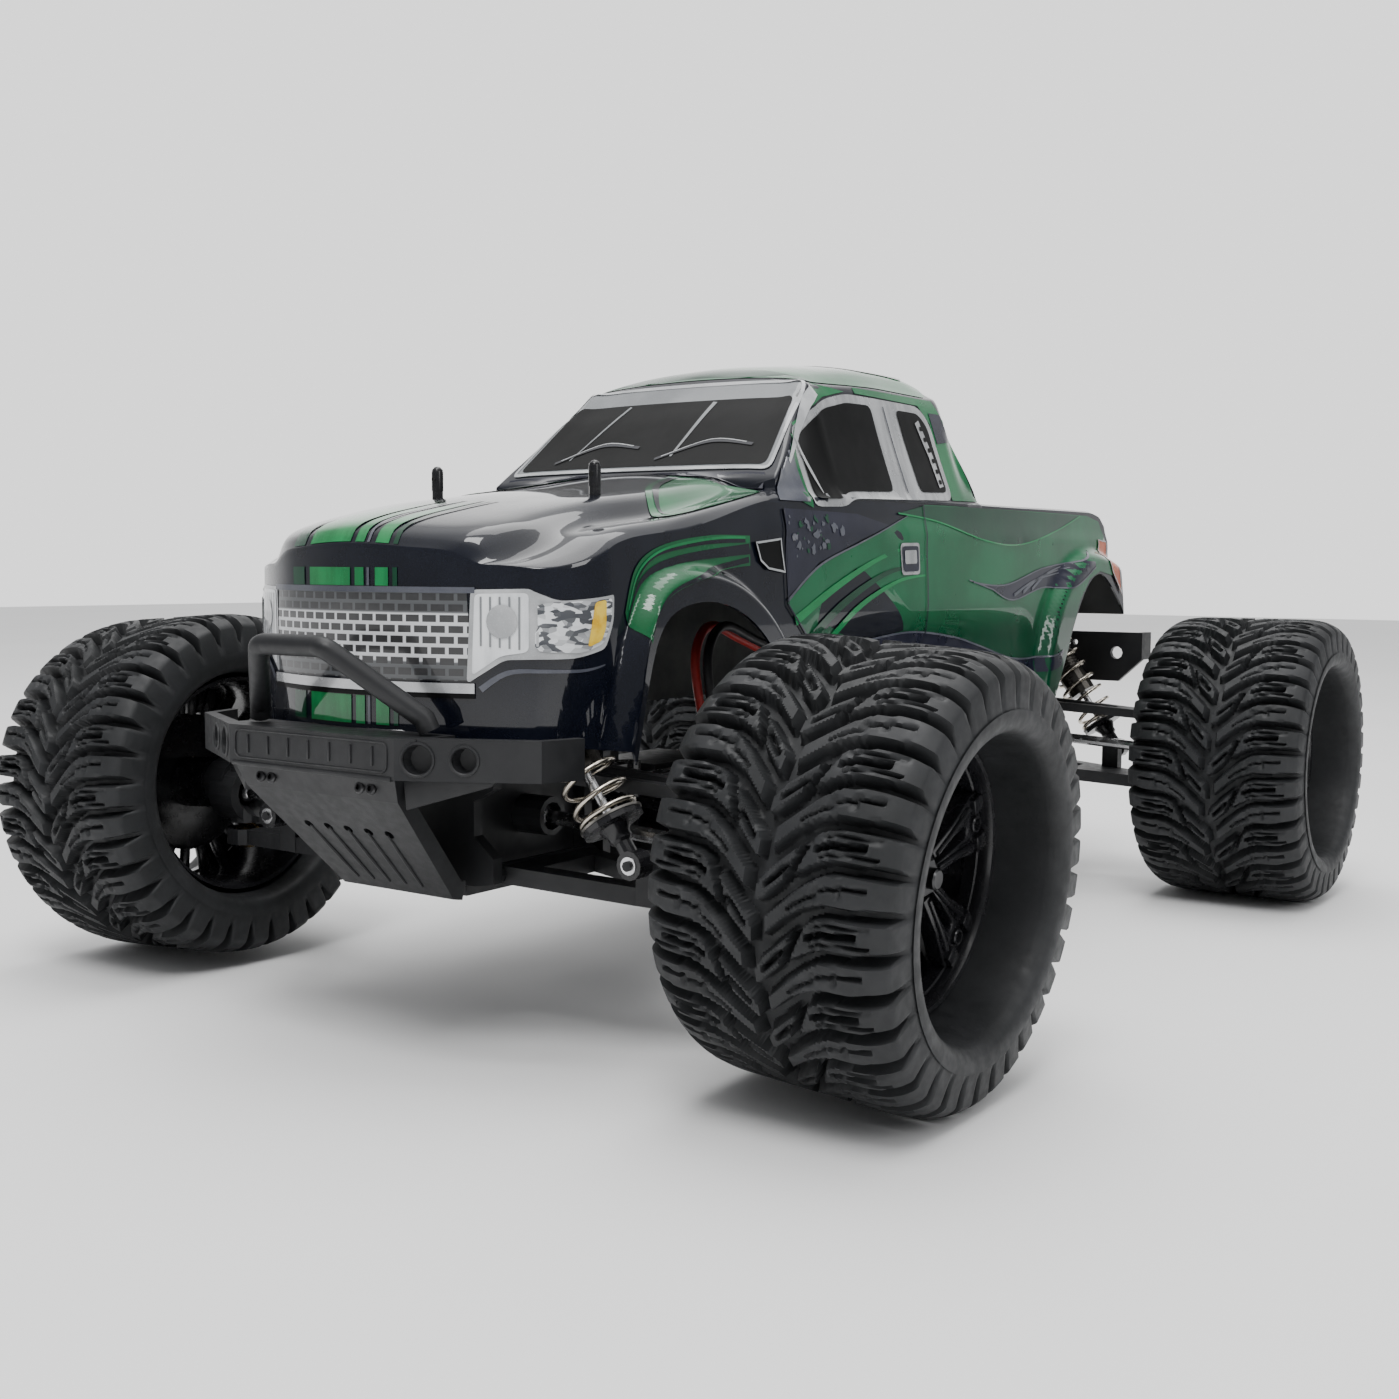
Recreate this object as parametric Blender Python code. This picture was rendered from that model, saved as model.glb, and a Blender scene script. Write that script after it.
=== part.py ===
"""Radio-controlled monster truck: 60 sub-parts in one frame, metres, +Z up, nose towards -Y."""
import bpy
import bmesh
import math
from mathutils import Matrix, Vector

MM = 0.001

# Wheels and overall layout
TYRE_RADIUS = 80.0 * MM
TYRE_WIDTH = 94.4 * MM
WHEELBASE = 446.4 * MM
TRACK = 376.0 * MM
FRONT_CAMBER = math.radians(3.8)
FRONT_WHEEL_LIFT = 2.1 * MM
WHEEL_FACETS = 28
FRAME_SHIFT = 11.6 * MM
FRONT_AXLE_Y = FRAME_SHIFT - WHEELBASE / 2
REAR_AXLE_Y = FRAME_SHIFT + WHEELBASE / 2
RIM_RADIUS = 50.0 * MM
RIM_HALF_WIDTH = 36.0 * MM
SPOKES = 6

# Suspension: the two arms, the drive shaft and the tie rod swing as one parallelogram
ARM_INNER_X = 34.4 * MM
PIVOT_X = 148.8 * MM
ARM_DROP = 6.4 * MM
LOWER_PIVOT_Z = 60.0 * MM
UPPER_PIVOT_Z = 100.0 * MM
AXLE_Z = TYRE_RADIUS
ARM_HALF_DEPTH = 31.0 * MM
PIVOT_BALL_RADIUS = 6.5 * MM
SHOCK_V = 25.0 * MM
SHOCK_TOP = (42.0 * MM, 158.0 * MM)
SHOCK_FOOT = (100.0 * MM, 77.0 * MM)
SPRING_RADIUS = 11.3 * MM
SPRING_WIRE_RADIUS = 1.1 * MM
SPRING_TURNS = 6

# Steering
TIE_OUTER_V = -24.7 * MM
STEER_ARM_V = -26.0 * MM
TIE_INNER_V = -40.6 * MM
TIE_OUTER_Z = 84.0 * MM
LINK_V = -44.6 * MM
BELLCRANK_LENGTH = 24.0 * MM
BELLCRANK_X = 20.0 * MM

# Chassis
CHASSIS_BOTTOM = 58.0 * MM
CHASSIS_TOP = 62.0 * MM
DECK = CHASSIS_TOP + 0.3 * MM
GEARBOX_TOP = 112.0 * MM
POST_X = 44.0 * MM
POST_V = -20.8 * MM
POST_RADIUS = 2.4 * MM

# Body shell, lengths measured from the middle of the wheelbase
SHELL_THICKNESS = 1.6 * MM
NOSE_Y = -296.0 * MM
NOSE_BOW = 4.1
TAIL_Y = 254.0 * MM
ROCKER_Z = 112.0 * MM
BED_FLOOR_Z = 198.0 * MM
FRONT_ARCH = (-196.0 * MM, 105.6 * MM, 68.0 * MM)
REAR_ARCH_Y = 222.4 * MM
REAR_ARCH_TOP = 184.8 * MM
FLARE = 8.0 * MM

FRONT = -1
REAR = 1
LEFT = 1
RIGHT = -1


def clear_scene():
    for item in list(bpy.data.objects):
        bpy.data.objects.remove(item, do_unlink=True)


def material(name, colour, roughness, metallic=0.0):
    made = bpy.data.materials.new(name)
    made.use_nodes = True
    shader = made.node_tree.nodes["Principled BSDF"]
    shader.inputs["Base Color"].default_value = (*colour, 1.0)
    shader.inputs["Roughness"].default_value = roughness
    shader.inputs["Metallic"].default_value = metallic
    return made


def solid(vertices, faces):
    mesh = bpy.data.meshes.new("solid")
    mesh.from_pydata([tuple(v) for v in vertices], [], faces)
    bm = bmesh.new()
    bm.from_mesh(mesh)
    bmesh.ops.recalc_face_normals(bm, faces=bm.faces)
    bm.to_mesh(mesh)
    bm.free()
    item = bpy.data.objects.new("solid", mesh)
    bpy.context.collection.objects.link(item)
    return item


def box(low, high):
    x0, y0, z0 = low
    x1, y1, z1 = high
    corners = [(x, y, z) for z in (z0, z1) for y in (y0, y1) for x in (x0, x1)]
    faces = [(0, 1, 3, 2), (4, 5, 7, 6), (0, 1, 5, 4), (2, 3, 7, 6), (0, 2, 6, 4), (1, 3, 7, 5)]
    return solid(corners, faces)


def axis_frame(start, end):
    direction = (Vector(end) - Vector(start)).normalized()
    turn = direction.to_track_quat("Z", "Y").to_matrix().to_4x4()
    return Matrix.Translation(Vector(start)) @ turn


def lathe(profile, start, end, segments=20):
    """Closed ring of revolution; profile holds (radius, distance from start) going round the section."""
    frame = axis_frame(start, end)
    vertices = []
    for step in range(segments):
        angle = 2 * math.pi * (step + 0.5) / segments
        for radius, along in profile:
            vertices.append(frame @ Vector((radius * math.cos(angle), radius * math.sin(angle), along)))
    count = len(profile)
    faces = []
    for step in range(segments):
        after = (step + 1) % segments
        for k in range(count):
            m = (k + 1) % count
            faces.append((step * count + k, after * count + k, after * count + m, step * count + m))
    return solid(vertices, faces)


def taper(start, end, radius0, radius1, segments=20):
    frame = axis_frame(start, end)
    length = (Vector(end) - Vector(start)).length
    vertices = []
    for radius, along in ((radius0, 0.0), (radius1, length)):
        for step in range(segments):
            angle = 2 * math.pi * step / segments
            vertices.append(frame @ Vector((radius * math.cos(angle), radius * math.sin(angle), along)))
    faces = [tuple(range(segments)), tuple(range(segments, 2 * segments))]
    for step in range(segments):
        after = (step + 1) % segments
        faces.append((step, after, segments + after, segments + step))
    return solid(vertices, faces)


def rod(start, end, radius, segments=12):
    return taper(start, end, radius, radius, segments)


def stepped(start, end, steps, segments=16):
    """Turned piece; steps holds (radius, distance from start), first and last closed by a flat end."""
    frame = axis_frame(start, end)
    vertices = []
    for radius, along in steps:
        for step in range(segments):
            angle = 2 * math.pi * step / segments
            vertices.append(frame @ Vector((radius * math.cos(angle), radius * math.sin(angle), along)))
    faces = [tuple(range(segments)), tuple(range((len(steps) - 1) * segments, len(steps) * segments))]
    for level in range(len(steps) - 1):
        for step in range(segments):
            after = (step + 1) % segments
            low = level * segments
            high = low + segments
            faces.append((low + step, low + after, high + after, high + step))
    return solid(vertices, faces)


def ball(centre, radius, rings=8, segments=16):
    steps = []
    for ring in range(1, rings):
        angle = math.pi * ring / rings
        steps.append((radius * math.sin(angle), radius - radius * math.cos(angle)))
    x, y, z = centre
    return stepped((x, y, z - radius), (x, y, z + radius), steps, segments)


def prism(outline, axis, low, high):
    """Flat outline pushed along an axis; outline pairs are the two remaining axes in x, y, z order."""
    vertices = []
    for level in (low, high):
        for a, b in outline:
            point = {"x": (level, a, b), "y": (a, level, b), "z": (a, b, level)}[axis]
            vertices.append(point)
    count = len(outline)
    faces = [tuple(range(count)), tuple(range(count, 2 * count))]
    for k in range(count):
        m = (k + 1) % count
        faces.append((k, m, count + m, count + k))
    return solid(vertices, faces)


def tube(points, radius, sides=8, closed_ends=True):
    """Round tube along a polyline, with filled ends."""
    count = len(points)
    path = [Vector(p) for p in points]
    vertices = []
    side = None
    for k, point in enumerate(path):
        before = path[max(k - 1, 0)]
        after = path[min(k + 1, count - 1)]
        direction = (after - before).normalized()
        if side is None:
            side = direction.orthogonal().normalized()
        side = (side - direction * side.dot(direction)).normalized()
        other = direction.cross(side)
        for step in range(sides):
            angle = 2 * math.pi * step / sides
            vertices.append(point + side * radius * math.cos(angle) + other * radius * math.sin(angle))
    faces = [tuple(range(sides)), tuple(range((count - 1) * sides, count * sides))]
    for k in range(count - 1):
        for step in range(sides):
            after = (step + 1) % sides
            low = k * sides
            faces.append((low + step, low + after, low + sides + after, low + sides + step))
    return solid(vertices, faces)


def apply_modifiers(item):
    graph = bpy.context.evaluated_depsgraph_get()
    mesh = bpy.data.meshes.new_from_object(item.evaluated_get(graph))
    item.modifiers.clear()
    item.data = mesh


def combine(pieces, cuts=()):
    base = pieces[0]
    for operation, others in (("UNION", pieces[1:]), ("DIFFERENCE", cuts)):
        for other in others:
            step = base.modifiers.new("join", "BOOLEAN")
            step.operation = operation
            step.solver = "EXACT"
            step.object = other
            apply_modifiers(base)
            bpy.data.objects.remove(other, do_unlink=True)
    bm = bmesh.new()
    bm.from_mesh(base.data)
    bmesh.ops.remove_doubles(bm, verts=bm.verts, dist=0.000001)
    bmesh.ops.dissolve_limit(bm, angle_limit=0.001, verts=bm.verts, edges=bm.edges)
    bm.to_mesh(base.data)
    bm.free()
    return base


def smooth(item, angle=math.radians(35)):
    for face in item.data.polygons:
        face.use_smooth = True
    item.data.set_sharp_from_angle(angle=angle)


def finish(item, name, surface, origin=(0.0, 0.0, 0.0), mirror=(1, 1), axle_y=0.0, parent=None, turn=0.0):
    """Name the piece, carry it to its corner of the car and put its origin on its own axis."""
    side, end = mirror
    centre = Vector(origin)
    bm = bmesh.new()
    bm.from_mesh(item.data)
    for vertex in bm.verts:
        local = vertex.co - centre
        vertex.co = Vector((side * local.x, end * local.y, local.z))
    if side * end < 0:
        bmesh.ops.reverse_faces(bm, faces=bm.faces)
    bm.to_mesh(item.data)
    bm.free()
    item.name = name
    item.data.name = name
    item.data.materials.clear()
    item.data.materials.append(surface)
    item.location = (side * centre.x, axle_y + end * centre.y, centre.z)
    item.rotation_euler = (0.0, side * turn, 0.0)
    smooth(item)
    if parent is not None:
        item.parent = parent
        item.matrix_parent_inverse = parent.matrix_world.inverted()
    return item


def smoothstep(low, high, value):
    share = min(max((value - low) / (high - low), 0.0), 1.0)
    return share * share * (3 - 2 * share)


def follow(line, at):
    """Straight-line interpolation through (position, value) pairs."""
    if at <= line[0][0]:
        return line[0][1]
    for (a, va), (b, vb) in zip(line, line[1:]):
        if at <= b:
            return va + (vb - va) * (at - a) / (b - a)
    return line[-1][1]


# ---------------------------------------------------------------- body shell

HOOD_LINE = ((-296 * MM, 192 * MM), (-292 * MM, 198 * MM), (-276 * MM, 204 * MM), (-246 * MM, 211 * MM),
             (-200 * MM, 216 * MM), (-124 * MM, 227 * MM))
SCREEN_LINE = ((-124 * MM, 227 * MM), (-76 * MM, 269 * MM), (-68 * MM, 279 * MM))
ROOF_LINE = ((-68 * MM, 279 * MM), (-40 * MM, 287 * MM), (0.0, 290.5 * MM), (40 * MM, 291 * MM), (57 * MM, 284 * MM),
             (78 * MM, 224 * MM))
BELT_LINE = ((-296 * MM, 186 * MM), (-262 * MM, 196 * MM), (-200 * MM, 202 * MM), (-124 * MM, 217 * MM),
             (0.0, 221 * MM), (78 * MM, 221 * MM), (243 * MM, 222 * MM), (254 * MM, 214 * MM))
FENDER_LINE = ((-296 * MM, 187 * MM), (-262 * MM, 199 * MM), (-200 * MM, 206 * MM), (-124 * MM, 221 * MM))


def arch_height(y):
    centre, middle, radius = FRONT_ARCH
    height = 0.0
    if abs(y - centre) < radius:
        height = middle + math.sqrt(radius * radius - (y - centre) ** 2)
    spread = 18.1 if y < REAR_ARCH_Y else 25.0
    return max(height, REAR_ARCH_TOP - spread * (y - REAR_ARCH_Y) ** 2)


def bottom_edge(y):
    base = follow(((-264 * MM, 128 * MM), (-258 * MM, ROCKER_Z), (250 * MM, ROCKER_Z), (254 * MM, 152 * MM)), y)
    return max(base, arch_height(y))


def side_offset(y, z):
    """Half width of the body side at a height, with the flares round the wheel arches."""
    share = (z - ROCKER_Z) / (BELT_LINE[4][1] - ROCKER_Z)
    width = 86.0 * MM + 10.0 * MM * share - 12.0 * MM * share * share
    centre, middle, radius = FRONT_ARCH
    front = math.hypot(y - centre, z - middle) - radius
    rear = math.hypot(y - REAR_ARCH_Y, z - REAR_ARCH_TOP + 66 * MM) - 66 * MM
    near = min(front, rear)
    width += FLARE * (1 - smoothstep(8 * MM, 19 * MM, near))
    return width - 3.0 * MM * smoothstep(-270 * MM, -300 * MM, y)


def hood_section(y, edge, belt):
    top = follow(HOOD_LINE, y)
    crown = follow(FENDER_LINE, y)
    inner = 58.0 * MM
    return [(edge, belt), (edge - 5 * MM, crown), (76 * MM, crown + 0.5 * MM), (67 * MM, crown + 1 * MM),
            (inner, top - 2 * MM), (50 * MM, top), (34 * MM, top + 1 * MM), (17 * MM, top + 2 * MM),
            (0.0, top + 2.4 * MM)]


def cab_section(y, edge, belt):
    top = follow(SCREEN_LINE, y) if y < SCREEN_LINE[-1][0] else follow(ROOF_LINE, y)
    rise = smoothstep(219 * MM, 278 * MM, top)
    eave = min(top - 1.5 * MM, follow(((-68 * MM, 272 * MM), (0.0, 276 * MM), (60 * MM, 276 * MM)), y))
    corner = 80.0 * MM - 15.0 * MM * rise
    sill = edge - 2 * MM
    return [(edge, belt), (sill, min(belt + 2 * MM, eave)), ((sill + corner) / 2, (belt + eave) / 2),
            (corner + 1.5 * MM, eave - 4 * MM * rise), (corner - 3 * MM, eave + 1.5 * MM * rise),
            (corner * 0.82, eave + (top - eave) * 0.6), (corner * 0.55, eave + (top - eave) * 0.85),
            (corner * 0.27, eave + (top - eave) * 0.96), (0.0, top)]


def bed_section(y, edge, belt):
    depth = smoothstep(79 * MM, 83 * MM, y) - smoothstep(239 * MM, 243 * MM, y)
    floor = belt - (belt - BED_FLOOR_Z) * depth
    return [(edge, belt), (edge - 2 * MM, belt + 1 * MM), (edge - 8 * MM, belt + 1 * MM),
            (edge - 11 * MM, floor + 0.5 * MM), (58 * MM, floor), (44 * MM, floor), (30 * MM, floor),
            (15 * MM, floor), (0.0, floor)]


def half_section(y, side_rows):
    low = bottom_edge(y)
    belt = follow(BELT_LINE, y)
    points = []
    for row in range(side_rows):
        z = low + (belt - low) * row / side_rows
        points.append((side_offset(y, z), z))
    edge = side_offset(y, belt)
    if y < -125 * MM:
        upper = hood_section(y, edge, belt)
    elif y < 78.5 * MM:
        upper = cab_section(y, edge, belt)
    else:
        upper = bed_section(y, edge, belt)
    return points + upper


def plan_shift(x, y, z):
    """Bow of the nose and lean of the tail, in length along the car."""
    bow = NOSE_BOW * x * x * (1 - smoothstep(NOSE_Y, -210 * MM, y))
    lean = 0.16 * max(213 * MM - z, 0.0) * smoothstep(232 * MM, TAIL_Y, y)
    return bow + lean


def shell_stations():
    stations = [-296, -292, -284, -272, -262, -250, -237, -222, -206, -190, -174, -158, -144, -136, -130,
                -126, -124, -106, -88, -76, -70, -62, -40, 0, 36, 52, 58, 68, 78, 79, 84, 120, 152, 160,
                170, 182, 196, 210, 223, 234, 239, 243, 248, 254]
    return [value * MM for value in stations]


def body_surface(side_rows=5):
    stations = shell_stations()
    vertices = []
    index = {}

    def vertex(x, y, z):
        key = (round(x * 1e6), round(y * 1e6), round(z * 1e6))
        if key not in index:
            index[key] = len(vertices)
            vertices.append((x, y + plan_shift(x, y, z) + FRAME_SHIFT, z))
        return index[key]

    def mirrored(points):
        return points + [(-x, z) for x, z in reversed(points[:-1])]

    faces = []
    rows = []
    for y in stations:
        rows.append([vertex(x, y, z) for x, z in mirrored(half_section(y, side_rows))])
    for first, second in zip(rows, rows[1:]):
        for k in range(len(first) - 1):
            faces.append((first[k], first[k + 1], second[k + 1], second[k]))
    for y in (stations[0], stations[-1]):
        half = half_section(y, side_rows)
        side = half[:side_rows + 1]
        top = mirrored(half[side_rows:])
        low = side[0][1]
        grid = []
        for row, (edge, _) in enumerate(side):
            share = row / side_rows
            scale = edge / side[-1][0]
            line = []
            for x, z in top:
                line.append(vertex(x * scale, y, low + share * (z - low)))
            grid.append(line)
        for under, over in zip(grid, grid[1:]):
            for k in range(len(under) - 1):
                faces.append((under[k], under[k + 1], over[k + 1], over[k]))
    clean = [face for face in faces if len(set(face)) == 4]
    return vertices, clean


def body_shell(surface):
    vertices, faces = body_surface()
    shell = solid(vertices, faces)
    bm = bmesh.new()
    bm.from_mesh(shell.data)
    bmesh.ops.recalc_face_normals(bm, faces=bm.faces)
    upward = sum(face.normal.z * face.calc_area() for face in bm.faces)
    if upward < 0:
        bmesh.ops.reverse_faces(bm, faces=bm.faces)
    bm.to_mesh(shell.data)
    bm.free()
    skin = shell.modifiers.new("thickness", "SOLIDIFY")
    skin.thickness = SHELL_THICKNESS
    skin.offset = -1
    apply_modifiers(shell)
    holes = []
    for axle, end in ((FRONT_AXLE_Y, FRONT), (REAR_AXLE_Y, REAR)):
        y = axle + end * POST_V
        for x in (-POST_X, POST_X):
            holes.append(rod((x, y, 180 * MM), (x, y, 235 * MM), POST_RADIUS + 0.9 * MM, 12))
    combine([shell], holes)
    return finish(shell, "body_shell", surface)


# ---------------------------------------------------------------- wheels

def tyre():
    half = TYRE_WIDTH / 2
    bore = RIM_RADIUS + 0.3 * MM
    side = [(bore, 33 * MM), (bore + 2.3 * MM, half - 3 * MM), (60 * MM, half), (70 * MM, half - 0.8 * MM),
            (76 * MM, half - 5 * MM), (TYRE_RADIUS / math.cos(math.pi / WHEEL_FACETS), half - 13 * MM)]
    profile = [(r, -x) for r, x in side] + [(r, x) for r, x in reversed(side)]
    return lathe(profile, (0, 0, 0), (1, 0, 0), WHEEL_FACETS)


def rim():
    half = RIM_HALF_WIDTH
    inner = RIM_RADIUS - 2.5 * MM
    barrel = lathe([(inner, -half), (RIM_RADIUS, -half), (RIM_RADIUS, half), (inner, half)], (0, 0, 0), (1, 0, 0), WHEEL_FACETS)
    stub = stepped((-28.5 * MM, 0, 0), (0, 0, 0), ((7.9 * MM, 0.0), (7.9 * MM, 7 * MM), (12 * MM, 7.4 * MM),
                                                 (12 * MM, 41 * MM)), 12)
    pieces = [barrel, stub]
    for k in range(SPOKES):
        angle = 2 * math.pi * k / SPOKES
        reach = RIM_RADIUS - 1.2 * MM
        spoke = box((3 * MM, -8.5 * MM, 6 * MM), (8.5 * MM, 8.5 * MM, reach))
        spoke.data.transform(Matrix.Rotation(angle, 4, "X"))
        pieces.append(spoke)
    return combine(pieces)


# ---------------------------------------------------------------- suspension, drawn for the front left corner

def arm_height(x, base):
    return base + ARM_DROP * (PIVOT_X - x) / (PIVOT_X - ARM_INNER_X)


def sloped(item, base):
    """Lift a piece drawn level at z = 0 onto the line from the inner to the outer pivot."""
    for vertex in item.data.vertices:
        vertex.co.z += arm_height(vertex.co.x, base)
    return item


def lower_arm():
    depth = ARM_HALF_DEPTH
    outline = [(ARM_INNER_X, -28 * MM), (ARM_INNER_X, 28 * MM), (94 * MM, 18 * MM), (138 * MM, 8 * MM),
               (142 * MM, 6 * MM), (142 * MM, -6 * MM), (138 * MM, -8 * MM), (94 * MM, -14 * MM)]
    window = [(48 * MM, -16 * MM), (48 * MM, 16 * MM), (84 * MM, 10 * MM), (84 * MM, -8 * MM)]
    plate = sloped(prism(outline, "z", -3.5 * MM, 3.5 * MM), LOWER_PIVOT_Z)
    opening = sloped(prism(window, "z", -6 * MM, 6 * MM), LOWER_PIVOT_Z)
    inner_z = LOWER_PIVOT_Z + ARM_DROP
    barrel = rod((ARM_INNER_X, -depth, inner_z), (ARM_INNER_X, depth, inner_z), 4.1 * MM, 10)
    eye = rod((PIVOT_X, 0, LOWER_PIVOT_Z - 3.6 * MM), (PIVOT_X, 0, LOWER_PIVOT_Z + 3.6 * MM), 9.4 * MM, 16)
    foot_x, foot_z = SHOCK_FOOT
    lug = box((foot_x - 5 * MM, 11 * MM, 60 * MM), (foot_x + 5 * MM, 18 * MM, foot_z + 3 * MM))
    pin = rod((foot_x, 17 * MM, foot_z), (foot_x, SHOCK_V + 5.5 * MM, foot_z), 2.0 * MM, 8)
    socket = rod((PIVOT_X, 0, LOWER_PIVOT_Z - 9 * MM), (PIVOT_X, 0, LOWER_PIVOT_Z + 9 * MM),
                 PIVOT_BALL_RADIUS + 0.6 * MM, 16)
    return combine([plate, barrel, eye, lug, pin], [opening, socket])


def upper_arm():
    outline = [(ARM_INNER_X, -17 * MM), (ARM_INNER_X, 17 * MM), (140 * MM, 5 * MM), (144 * MM, 4 * MM),
               (144 * MM, -4 * MM), (140 * MM, -5 * MM)]
    window = [(46 * MM, -10 * MM), (46 * MM, 10 * MM), (108 * MM, 3 * MM), (108 * MM, -3 * MM)]
    plate = sloped(prism(outline, "z", -2.5 * MM, 2.5 * MM), UPPER_PIVOT_Z)
    opening = sloped(prism(window, "z", -6 * MM, 6 * MM), UPPER_PIVOT_Z)
    inner_z = UPPER_PIVOT_Z + ARM_DROP
    barrel = rod((ARM_INNER_X, -20 * MM, inner_z), (ARM_INNER_X, 20 * MM, inner_z), 4.1 * MM, 10)
    eye = rod((PIVOT_X, 0, UPPER_PIVOT_Z - 3 * MM), (PIVOT_X, 0, UPPER_PIVOT_Z + 3 * MM), 7.2 * MM, 14)
    bore = rod((PIVOT_X, 0, UPPER_PIVOT_Z - 8 * MM), (PIVOT_X, 0, UPPER_PIVOT_Z + 8 * MM), 3.9 * MM, 12)
    return combine([plate, barrel, eye], [opening, bore])


def pivot_ball():
    bead = ball((PIVOT_X, 0, LOWER_PIVOT_Z), PIVOT_BALL_RADIUS, 6, 12)
    stud = rod((PIVOT_X, 0, LOWER_PIVOT_Z + 3 * MM), (PIVOT_X, 0, 70.3 * MM), 2.5 * MM, 8)
    return combine([bead, stud])


def knuckle(end, camber, lift):
    post = rod((PIVOT_X, 0, 66.6 * MM), (PIVOT_X, 0, 93 * MM), 8 * MM, 14)
    slope = math.tan(camber)
    hub_x = TRACK / 2

    def on_axle(x):
        return (x, 0, AXLE_Z + lift + (hub_x - x) * slope)

    housing = rod((144 * MM, 0, AXLE_Z), (160 * MM, 0, AXLE_Z), 13.4 * MM, 18)
    nose = rod(on_axle(152 * MM), on_axle(165.4 * MM), 12 * MM, 18)
    pin = rod((PIVOT_X, 0, 91 * MM), (PIVOT_X, 0, UPPER_PIVOT_Z + 4.5 * MM), 2.4 * MM, 8)
    bearing = rod(on_axle(156.4 * MM), on_axle(170 * MM), 8.6 * MM, 16)
    chamber = rod((147 * MM, 0, AXLE_Z), (157.5 * MM, 0, AXLE_Z), 6.0 * MM, 16)
    mouth = taper((139 * MM, 0, AXLE_Z), (149.5 * MM, 0, AXLE_Z), 12.2 * MM, 5.6 * MM, 12)
    pieces = [housing, nose, post, pin]
    cuts = [chamber, mouth, bearing]
    if end == FRONT:
        arm = box((145.5 * MM, STEER_ARM_V - 3.5 * MM, 74.5 * MM), (152.5 * MM, -8 * MM, 79 * MM))
        stalk = rod((PIVOT_X, STEER_ARM_V, 77 * MM), (PIVOT_X, STEER_ARM_V, 89 * MM), 1.6 * MM, 8)
        socket = rod((PIVOT_X, 0, 60 * MM), (PIVOT_X, 0, 70.7 * MM), 2.95 * MM, 10)
        pieces += [arm, stalk]
        cuts.append(socket)
    else:
        pieces += [rod((PIVOT_X, 0, 62 * MM), (PIVOT_X, 0, 69 * MM), 2.5 * MM, 8),
                   ball((PIVOT_X, 0, LOWER_PIVOT_Z), PIVOT_BALL_RADIUS, 6, 12)]
    return combine(pieces, cuts)


def drive_shaft():
    start = (ARM_INNER_X, 0, AXLE_Z + ARM_DROP)
    end = (PIVOT_X, 0, AXLE_Z)
    return combine([rod(start, end, 3 * MM, 10), ball(start, 4.6 * MM, 6, 10), ball(end, 4.6 * MM, 6, 10)])


def shock_lean():
    return math.atan2(SHOCK_FOOT[0] - SHOCK_TOP[0], SHOCK_TOP[1] - SHOCK_FOOT[1])


def shock_length():
    return math.hypot(SHOCK_FOOT[0] - SHOCK_TOP[0], SHOCK_TOP[1] - SHOCK_FOOT[1])


def shock_body():
    """Cylinder drawn hanging straight down from its upper eye."""
    eye = rod((0, -4 * MM, 0), (0, 4 * MM, 0), 6 * MM, 12)
    barrel = stepped((0, 0, -4 * MM), (0, 0, -60 * MM),
                     ((5 * MM, 0.0), (9.6 * MM, 2 * MM), (9.6 * MM, 11 * MM), (8.2 * MM, 11.4 * MM),
                      (8.2 * MM, 15 * MM), (12.6 * MM, 15.3 * MM), (12.6 * MM, 18.7 * MM), (8.2 * MM, 19 * MM),
                      (8.2 * MM, 55 * MM)), 14)
    bore = rod((0, 0, -26 * MM), (0, 0, -70 * MM), 2.3 * MM, 8)
    hole = rod((0, -8 * MM, 0), (0, 8 * MM, 0), 3.0 * MM, 10)
    return combine([barrel, eye], [bore, hole])


def shock_rod():
    """Piston rod with the lower eye and the spring seat, drawn standing on its eye."""
    eye = rod((0, -4 * MM, 0), (0, 4 * MM, 0), 5.6 * MM, 12)
    shaft = stepped((0, 0, 4 * MM), (0, 0, 54 * MM),
                    ((3.4 * MM, 0.0), (3.4 * MM, 12 * MM), (12.4 * MM, 12.6 * MM), (12.4 * MM, 15.6 * MM),
                     (3.4 * MM, 16 * MM), (1.8 * MM, 17 * MM), (1.8 * MM, 50 * MM)), 14)
    hole = rod((0, -8 * MM, 0), (0, 8 * MM, 0), 3.1 * MM, 10)
    return combine([shaft, eye], [hole])


def shock_spring():
    top = -23.2 * MM - SPRING_WIRE_RADIUS
    low = -(shock_length() - 19.9 * MM) + SPRING_WIRE_RADIUS
    per_turn = 9
    count = SPRING_TURNS * per_turn
    points = []
    for k in range(count + 1):
        share = k / count
        closing = 1.2 * (share - 0.5) - 0.8 * (share - 0.5) ** 3
        angle = 2 * math.pi * k / per_turn
        height = (top + low) / 2 + (low - top) * closing
        points.append((SPRING_RADIUS * math.cos(angle), SPRING_RADIUS * math.sin(angle), height))
    return tube(points, SPRING_WIRE_RADIUS, 4)


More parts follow.
